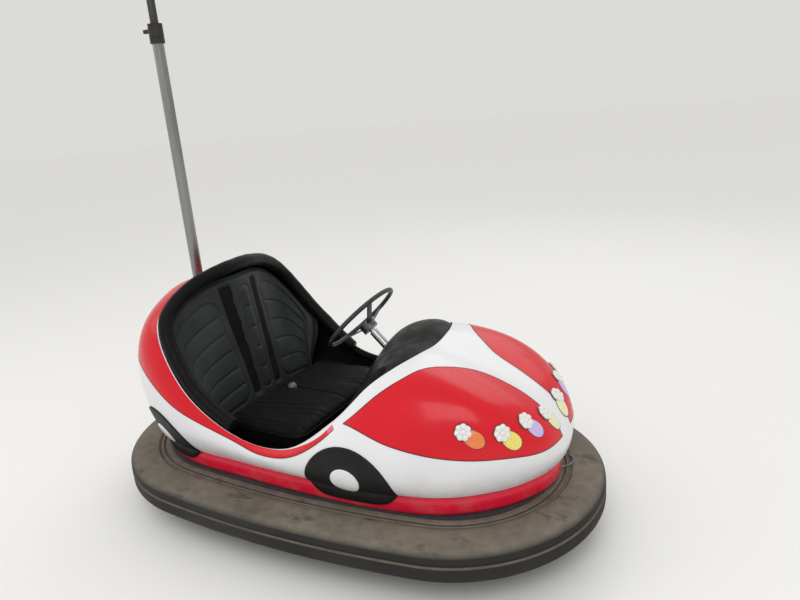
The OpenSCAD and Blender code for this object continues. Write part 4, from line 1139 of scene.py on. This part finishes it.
def seatBelts():
    straps = []
    for v0, v1 in beltChannels:
        mid, half = (v0 + v1) / 2, (v1 - v0) / 2 * 0.80
        q = np.linspace(beltSet["from"], beltSet["to"], 80)
        across = np.linspace(-1, 1, 9)
        v = mid + half * across[None] + 0 * q[:, None]
        qq = q[:, None] + 0 * across[None]
        rear, inward = backRear(v, qq)
        ripple = 0.0012 * np.sin(qq * 26) + 0.0008 * np.sin(qq * 61 + 1)
        # the strap lies in its channel, and its ends tuck into the padding
        tuck = 0.010 * (smoothStep((0.06 - qq) / 0.05) + smoothStep((qq - 0.88) / 0.05))
        bed = seatSet["thick"] - seatSet["setBack"] - seatSet["channelDepth"]
        lift = bed + beltSet["clear"] + ripple - tuck
        face = rear + inward * lift[..., None]
        over = rear + inward * (lift + beltSet["thick"])[..., None]
        grid = np.concatenate([over, face[:, ::-1]], 1)
        straps.append(gridPiece("belt", grid, beltWebbing, closeRows=True, sharp=40))
    piece = joinPieces("beltStraps", straps)
    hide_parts("belt_straps")


seatBelts()


def beltBuckle():
    profile = [(0.0, 0.0185), (0.006, 0.018), (0.012, 0.0152), (0.0162, 0.0105), (0.0182, 0.005),
               (0.0185, 0.0), (0.0205, -0.001), (0.0205, -0.003), (0.0, -0.003)]
    piece = turnedProfile("beltBuckle", profile, (-0.260, 0, 0.4005), (0, 0, 1),
                          newFinish("buckleGrey", srgb(96, 98, 104), 0.3), "chassis", 40)
    finish = piece.data.materials[0]
    addBumps(finish, (addNoise(finish, 260, 3), 0.25, 0.0006))
    setSocket(finish, "Roughness", ramp(finish, addNoise(finish, 40, 4), 0.3, 0.7, 0.22, 0.42))
    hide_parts("belt_buckle")


beltBuckle()
print("roll, belts and buckle made")

# Finishes of the construction that is carried over
nodeFinish = {
    "bumper_rim": framePaint, "floor_pan": framePaint, "cross_tubes": framePaint, "swivel_plate": framePaint,
    "rear_brackets": framePaint, "pole_socket": framePaint, "bulkhead": innerPlastic,
    "seat_base": innerPlastic, "column_tube": chromeSteel, "column_foot": footPlastic,
    "steering_shaft": chromeSteel,
    "steering_hub": wheelIron, "steering_rim": wheelRubber, "drive_fork": castIron, "drive_hub": hubIron,
    "drive_tyre": tyreRubber, "rear_hub_left": hubIron, "rear_hub_right": hubIron,
    "rear_tyre_left": tyreRubber, "rear_tyre_right": tyreRubber, "pole_lower": poleSteel,
    "pole_collar": castIron, "pole_upper": poleDark, "contact_head": castIron, "contact_arm": poleDark,
    "contact_spring": poleSteel, "contact_shoe": shoeBrass, "pedal": treadAluminium, "nose_catch": poleSteel}
for node, finish in nodeFinish.items():
    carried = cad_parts[node]
    if carried.material_slots:
        for materialSlot in carried.material_slots:
            materialSlot.material = finish
    else:
        carried.data.materials.append(finish)
print("construction dressed")


# Floor, backdrop and light
stageSet = {"floor": srgb(236, 235, 232), "light": 0.85}


def buildStage():
    mesh = bpy.data.meshes.new("floor")
    turn = np.linspace(0, 2 * math.pi, 64, endpoint=False)
    mesh.from_pydata([(30 * math.cos(t), 30 * math.sin(t), 0) for t in turn], [], [tuple(range(64))])
    floor = bpy.data.objects.new("floor", mesh)
    scene.collection.objects.link(floor)
    finish = newFinish("floorFinish", stageSet["floor"], 0.55)
    mesh.materials.append(finish)
    world = bpy.data.worlds.new("world")
    world.use_nodes = True
    scene.world = world
    nodes, links = world.node_tree.nodes, world.node_tree.links
    nodes.clear()
    out = nodes.new("ShaderNodeOutputWorld")
    lit = nodes.new("ShaderNodeBackground")
    lit.inputs["Color"].default_value = (1, 1, 1, 1)
    lit.inputs["Strength"].default_value = stageSet["light"]
    seen = nodes.new("ShaderNodeBackground")
    seen.inputs["Color"].default_value = (*stageSet["floor"], 1)
    seen.inputs["Strength"].default_value = stageSet["light"]
    path = nodes.new("ShaderNodeLightPath")
    mix = nodes.new("ShaderNodeMixShader")
    share = path.outputs["Is Camera Ray"]
    for ray in ("Is Glossy Ray", "Is Transmission Ray"):
        larger = nodes.new("ShaderNodeMath")
        larger.operation = "MAXIMUM"
        links.new(share, larger.inputs[0])
        links.new(path.outputs[ray], larger.inputs[1])
        share = larger.outputs[0]
    links.new(share, mix.inputs[0])
    links.new(lit.outputs[0], mix.inputs[1])
    links.new(seen.outputs[0], mix.inputs[2])
    links.new(mix.outputs[0], out.inputs[0])


def addLamp(name, place, target, size, power):
    data = bpy.data.lights.new(name, "AREA")
    data.shape = "RECTANGLE"
    data.size, data.size_y = size
    data.energy = power
    lamp = bpy.data.objects.new(name, data)
    scene.collection.objects.link(lamp)
    lamp.location = place
    lamp.rotation_euler = (Vector(target) - Vector(place)).to_track_quat("-Z", "Y").to_euler()


buildStage()
addLamp("keyLight", (1.8, -3.4, 4.2), (0, 0, 0.4), (3.4, 2.4), 64)
addLamp("fillLight", (-3.2, -1.6, 3.2), (0, 0, 0.4), (2.5, 2.5), 20)
addLamp("backLight", (0.5, 4.0, 3.6), (0, 0, 0.5), (4.0, 2.0), 26)
scene.view_settings.view_transform = "Standard"
print("stage made")
